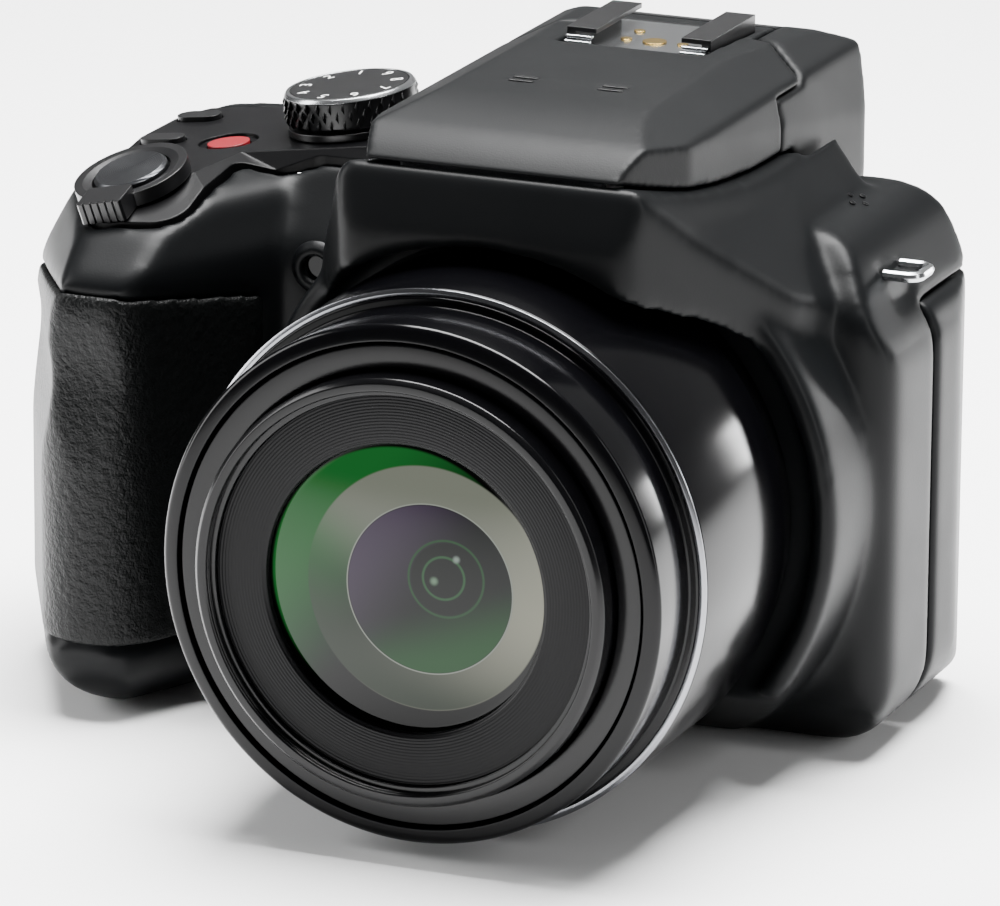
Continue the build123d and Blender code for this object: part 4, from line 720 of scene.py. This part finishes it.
# Front barrel: filter thread, seats of the name ring and the two lenses, bore, and a guide at its rear end
front_y = -84.0
rim_radius = 28.5
front_radius = 29.1
guide_radius = 30.5
guide_y = -43.0
front_end_y = -38.0
front_bore = 25.8
wall_y = -70.0
inner_lens_bore = 10.95
inner_lens_radius = 12.25
inner_lens_back_y = -73.45
inner_lens_front_y = -75.2
lens_bore = 19.55
lens_radius = 20.85
lens_back_y = -78.75
lens_front_y = -80.3
ring_seat_radius = 26.6
filter_radius = 27.5
filter_depth = 1.4
crest_radius = 27.25
first_crest = 0.4
half_pitch = 0.3
front_tube = [
    (filter_radius, front_y),
    (rim_radius, front_y),
    (front_radius, front_y + front_radius - rim_radius),
    (front_radius, guide_y),
    (guide_radius, guide_y),
    (guide_radius, front_end_y),
    (front_bore, front_end_y),
    (front_bore, wall_y),
    (inner_lens_bore, wall_y),
    (inner_lens_bore, inner_lens_back_y),
    (inner_lens_radius, inner_lens_back_y),
    (inner_lens_radius, inner_lens_front_y),
    (lens_bore, lens_back_y),
    (lens_radius, lens_back_y),
    (lens_radius, lens_front_y),
    (ring_seat_radius, lens_front_y),
    (ring_seat_radius, front_y + filter_depth),
    (filter_radius, front_y + filter_depth),
    (crest_radius, front_y + first_crest + 2 * half_pitch),
    (filter_radius, front_y + first_crest + half_pitch),
    (crest_radius, front_y + first_crest),
]

# Bright ring: a bevelled band that stands on its seat, a hair clear of the barrel behind it
band_front_y = -68.6
band_rear_y = -68.05
band_bore = 36.35
band_bevel = 0.5
band_bevel_depth = 0.25
band_edge = 0.05
band = [
    (band_bore, band_front_y),
    (barrel_radius - band_bevel, band_front_y),
    (barrel_radius, band_front_y + band_bevel_depth),
    (barrel_radius, band_rear_y),
    (band_bore, band_rear_y),
]

# Name ring: a shallow cone that falls towards the glass
cone_radius = 26.55
cone_lip_radius = 20.3
cone_bore = 19.7
cone_y = -81.9
cone_lip_fall = 0.25
cone_fall = 0.6
face_ring = [
    (cone_bore, cone_y + cone_fall),
    (cone_lip_radius, cone_y + cone_lip_fall),
    (cone_radius, cone_y),
    (cone_radius, lens_front_y),
    (cone_bore, lens_front_y),
]
for name, outline, edge, skin, body, slot, node in (
    ("outer_barrel", outer_barrel, barrel_edge, barrel_skin, "root", "lens_barrel", "fixed_barrel"),
    ("middle_tube", middle_tube, barrel_edge, inner_skin, "middle_barrel", "inner_barrel", "middle_barrel"),
    ("front_tube", front_tube, fine_edge, inner_skin, "front_barrel", "inner_barrel", "front_barrel"),
    ("bright_ring", band, band_edge, chrome, "root", "chrome", "chrome_ring"),
    ("face_ring", face_ring, fine_edge, ring_face, "front_barrel", "name_ring", "name_ring"),
):
    finished(name, turned(name, outline, lens_frame, edge), skin, body, [node])

# Front glass: a dome inside a thin rim, with a flat back, as the solid has
glass_radius = 20.8
dome_radius = 19.65
dome_rise = 2.05
glass_rim_y = -80.25
glass_back_y = -78.75
bow = (dome_radius ** 2 + dome_rise ** 2) / (2 * dome_rise)
dome_steps = 24
glass = []
for step in range(dome_steps + 1):
    reach = dome_radius * step / dome_steps
    glass.append((reach, glass_rim_y - dome_rise + bow - math.sqrt(bow * bow - reach * reach)))
glass += [(glass_radius, glass_rim_y), (glass_radius, glass_back_y), (0.0, glass_back_y)]
glass_mesh = turned("front_glass", glass, lens_frame, 0)
finished("front_glass", glass_mesh, painted_glass_skin, "front_barrel", ["front_lens"])

# Mode dial: a wheel with a sunk face, in mm about its joint's axis and up from the joint's place
dial_frame = joint_frame("mode_turn")
dial_steps = 96
dial_radius = 9.25
dial_base = 1.5
dial_foot_width = 0.45
dial_foot_height = 0.5
dial_shoulder = 5.6
dial_top = 6.2
rim_outer = 8.9
rim_inner = 8.35
face_height = 6.0
wheel = [
    (0, face_height),
    (rim_inner, face_height),
    (rim_inner, dial_top),
    (rim_outer, dial_top),
    (dial_radius, dial_shoulder),
    (dial_radius, dial_base + dial_foot_height),
    (dial_radius - dial_foot_width, dial_base),
    (0, dial_base),
]
wheel_mesh = turned("dial_wheel", wheel, dial_frame, fine_edge, dial_steps)
finished("dial_wheel", wheel_mesh, black_metal, "mode_dial", ["mode_dial"])

# Knurl of the dial: three rows of small pyramids, each row set half a step on
knurl_sizes = {
    "Around": 30,
    "Rows": 3,
    "Row step": 1.2 * mm,
    "Wheel radius": 9.2 * mm,
    "Stud radius": 0.95 * mm,
    "Stud height": 0.5 * mm,
    "First row": 2.5 * mm,
}
studs = knurl("dial_knurl", knurl_sizes, dial_frame, black_metal)
finished("dial_knurl", studs, black_metal, "mode_dial")

# Bright line round the face: a thin skin over the rim and its bevel
line_outer = 9.35
line_inner = 8.5
line_cover = 0.1
line_bed = 0.15
line_stand = 0.05
line_edge = 0.03
line = [
    (line_inner, dial_top - line_cover),
    (line_inner, dial_top + line_stand),
    (rim_outer + line_cover, dial_top),
    (line_outer, dial_shoulder + line_cover),
    (line_outer - line_bed, dial_shoulder + line_stand),
    (rim_outer, dial_top - line_bed),
]
line_mesh = turned("dial_line", line, dial_frame, line_edge, dial_steps)
finished("dial_line", line_mesh, steel, "mode_dial")

# Plain numbers 1 to 9 round the face, with their feet towards the middle
figure_count = 9
figure_turn = 10
figure_radius = 6.6 * mm
figure_base = 6.22 * mm
figure_spot = Matrix.Translation((0, figure_radius, figure_base))
figure_height = 2.6 * mm
figure_raised = 0.01 * mm
figures = []
for step in range(figure_count):
    angle = math.radians(360 / figure_count * step + figure_turn)
    where = dial_frame @ (Matrix.Rotation(angle, 4, "Z") @ figure_spot)
    figures.append(lettering(str(step + 1), figure_height, figure_raised, where))
finished("dial_numbers", joined("dial_numbers", figures), ink, "mode_dial")

# Focus lamp: a raised ring on the body round the dark window, in mm from its own middle
lamp_place = Vector((-39.4, -21.0, 61.6)) * mm
lamp_frame = Matrix.Translation(lamp_place) @ Matrix.Rotation(math.pi / 2, 4, "X")
lamp_bore = 1.75
boss_lip_radius = 2.2
boss_radius = 3.9
boss_height = 0.85
boss_mouth = 0.35
boss_crown_radius = 2.9
boss_crown_height = 0.8
boss_skirt_radius = 3.6
boss_skirt_height = 0.1
boss_foot = -0.4
boss_sunk = -0.5
boss_edge = 0.3
boss_steps = 64
boss = [
    (lamp_bore, boss_sunk),
    (lamp_bore, boss_mouth),
    (boss_lip_radius, boss_height),
    (boss_crown_radius, boss_crown_height),
    (boss_skirt_radius, boss_skirt_height),
    (boss_radius, boss_foot),
]
boss_mesh = turned("lamp_boss", boss, lamp_frame, boss_edge, boss_steps)
finished("lamp_boss", boss_mesh, shell, "root")

# Accessory shoe: two bright leaves at the mouth of each rail and a bright strip along the plate, in mm
leaf_inner_x = 6.6
leaf_outer_x = 10.4
leaf_edge = 0.15
leaves = (
    ((-1.6, 92.9), (-0.6, 93.4)),
    ((-2.4, 92.3), (-1.4, 92.8)),
)
strip_x = 10.6
strip_low = (-4.1, 91.75)
strip_high = (-3.2, 92.05)
strip_edge = 0.1
springs = []
for side in (-1, 1):
    left, right = sorted((side * leaf_inner_x, side * leaf_outer_x))
    for low, high in leaves:
        springs.append(cuboid((left, *low), (right, *high), leaf_edge))
springs.append(cuboid((-strip_x, *strip_low), (strip_x, *strip_high), strip_edge))
finished("shoe_springs", joined("shoe_springs", springs), steel, "flash_head")

# Painted shadow of the speaker holes: dark pins that fill them, six round one, on the sloping right shoulder
# as the solid has them, in mm
shoulder_slope = Vector((0.42, 0.0, 0.907))
shoulder_x = 30.97
shoulder_z = 73.25
speaker_x = 30.0
speaker_y = 3.0
speaker_ring = 2.3
round_holes = 6
hole_radius = 0.5
hole_depth = 0.4
hole_shadows = []
for step in range(round_holes + 1):
    angle = step * 2 * math.pi / round_holes
    reach = speaker_ring if step < round_holes else 0.0
    x = speaker_x + reach * math.cos(angle)
    y = speaker_y + reach * math.sin(angle)
    z = shoulder_z - (x - shoulder_x) * shoulder_slope.x / shoulder_slope.z
    hole_shadows.append(pin((x, y, z), shoulder_slope, hole_radius, hole_depth))
finished("speaker_hole_shadows", joined("speaker_hole_shadows", hole_shadows), screen_and_hole_shade_skin, "root")

# Painted shadow of the microphone slots: two pairs of dark bars set in the flash lid where the slots are, in
# mm
slot_middle_x = 6.5
slot_rows = (-27.0, -25.1)
slot_half_length = 1.8
slot_half_width = 0.34
slot_base = 92.4
slot_top = 93.06
slit_shadows = []
for x in (-slot_middle_x, slot_middle_x):
    for y in slot_rows:
        low = (x - slot_half_length, y - slot_half_width, slot_base)
        high = (x + slot_half_length, y + slot_half_width, slot_top)
        slit_shadows.append(cuboid(low, high, strip_edge))
finished("lid_slit_shadows", joined("lid_slit_shadows", slit_shadows), screen_and_hole_shade_skin, "flash_head")

# Camera, fitted to the photograph: angles, the point it looks at, and the focal length in pixels of the frame
azimuth = math.radians(22.6)
elevation = math.radians(16.6)
roll = math.radians(0.4)
target = Vector((-9.6, -26.0, 39.9)) * mm
distance = 1100 * mm
focal_pixels = 8030
image_width = 1000
sensor_width = 36.0
level = math.cos(elevation)
back = Vector((math.sin(azimuth) * level, -math.cos(azimuth) * level, math.sin(elevation)))
right = Vector((math.cos(azimuth), math.sin(azimuth), 0.0))
up = back.cross(right)
turned_right = right * math.cos(roll) + up * math.sin(roll)
turned_up = up * math.cos(roll) - right * math.sin(roll)
eye = bpy.data.cameras.new("camera")
eye.sensor_width = sensor_width
eye.lens = focal_pixels / image_width * sensor_width
eye.clip_start = 0.05
camera = bpy.data.objects.new("camera", eye)
turn = Matrix((turned_right, turned_up, back)).transposed().to_4x4()
camera.matrix_world = Matrix.Translation(target + back * distance) @ turn
bpy.context.scene.collection.objects.link(camera)
bpy.context.scene.camera = camera


def studio():
    """A pale floor that bends up behind, in metres, and a weak even light from all round."""
    reach = 2.6
    start = 1.5
    bend = 0.7
    bend_steps = 8
    wall_top = 2.7
    rows = [(-reach, 0.0), (start, 0.0)]
    for step in range(1, bend_steps + 1):
        angle = step * math.pi / 2 / bend_steps
        rows.append((start + bend * math.sin(angle), bend - bend * math.cos(angle)))
    rows.append((start + bend, wall_top))
    points = [(side * reach, y, z) for y, z in rows for side in (-1, 1)]
    faces = [(2 * i, 2 * i + 1, 2 * i + 3, 2 * i + 2) for i in range(len(rows) - 1)]
    mesh = bpy.data.meshes.new("floor")
    mesh.from_pydata(points, [], faces)
    mesh.shade_smooth()
    # Matt paper: a pale ground with soft shadows
    mesh.materials.append(material("Studio paper", "#fcfcfc", 0.8)[0])
    floor = bpy.data.objects.new("floor", mesh)
    bpy.context.scene.collection.objects.link(floor)
    world = bpy.data.worlds.new("studio")
    world.use_nodes = True
    surround = world.node_tree.nodes["Background"].inputs
    surround["Color"].default_value = colour("#ffffff")
    surround["Strength"].default_value = 0.12
    bpy.context.scene.world = world


# The middle of the object, in metres, at which the lights look
light_aim = Vector((0.0, -0.02, 0.04))


def soft_box(name, where, width, height, watts):
    """A rectangular area light that looks at the middle of the object."""
    lamp = bpy.data.lights.new(name, "AREA")
    lamp.shape = "RECTANGLE"
    lamp.size = width
    lamp.size_y = height
    lamp.energy = watts
    box = bpy.data.objects.new(name, lamp)
    aim = (light_aim - where).to_track_quat("-Z", "Y")
    box.matrix_world = Matrix.Translation(where) @ aim.to_matrix().to_4x4()
    bpy.context.scene.collection.objects.link(box)


studio()

# Soft boxes: place, width and height in metres, and watts
for name, where, width, height, watts in (
    ("top box", (0.0, 0.12, 0.75), 0.6, 0.5, 44),
    ("left box", (-0.7, -0.25, 0.25), 0.25, 0.7, 6),
    ("right box", (0.75, -0.1, 0.3), 0.15, 0.7, 2.5),
    ("rim strip", (0.42, 0.82, 0.1), 0.06, 0.14, 1.2),
):
    soft_box(name, Vector(where), width, height, watts)
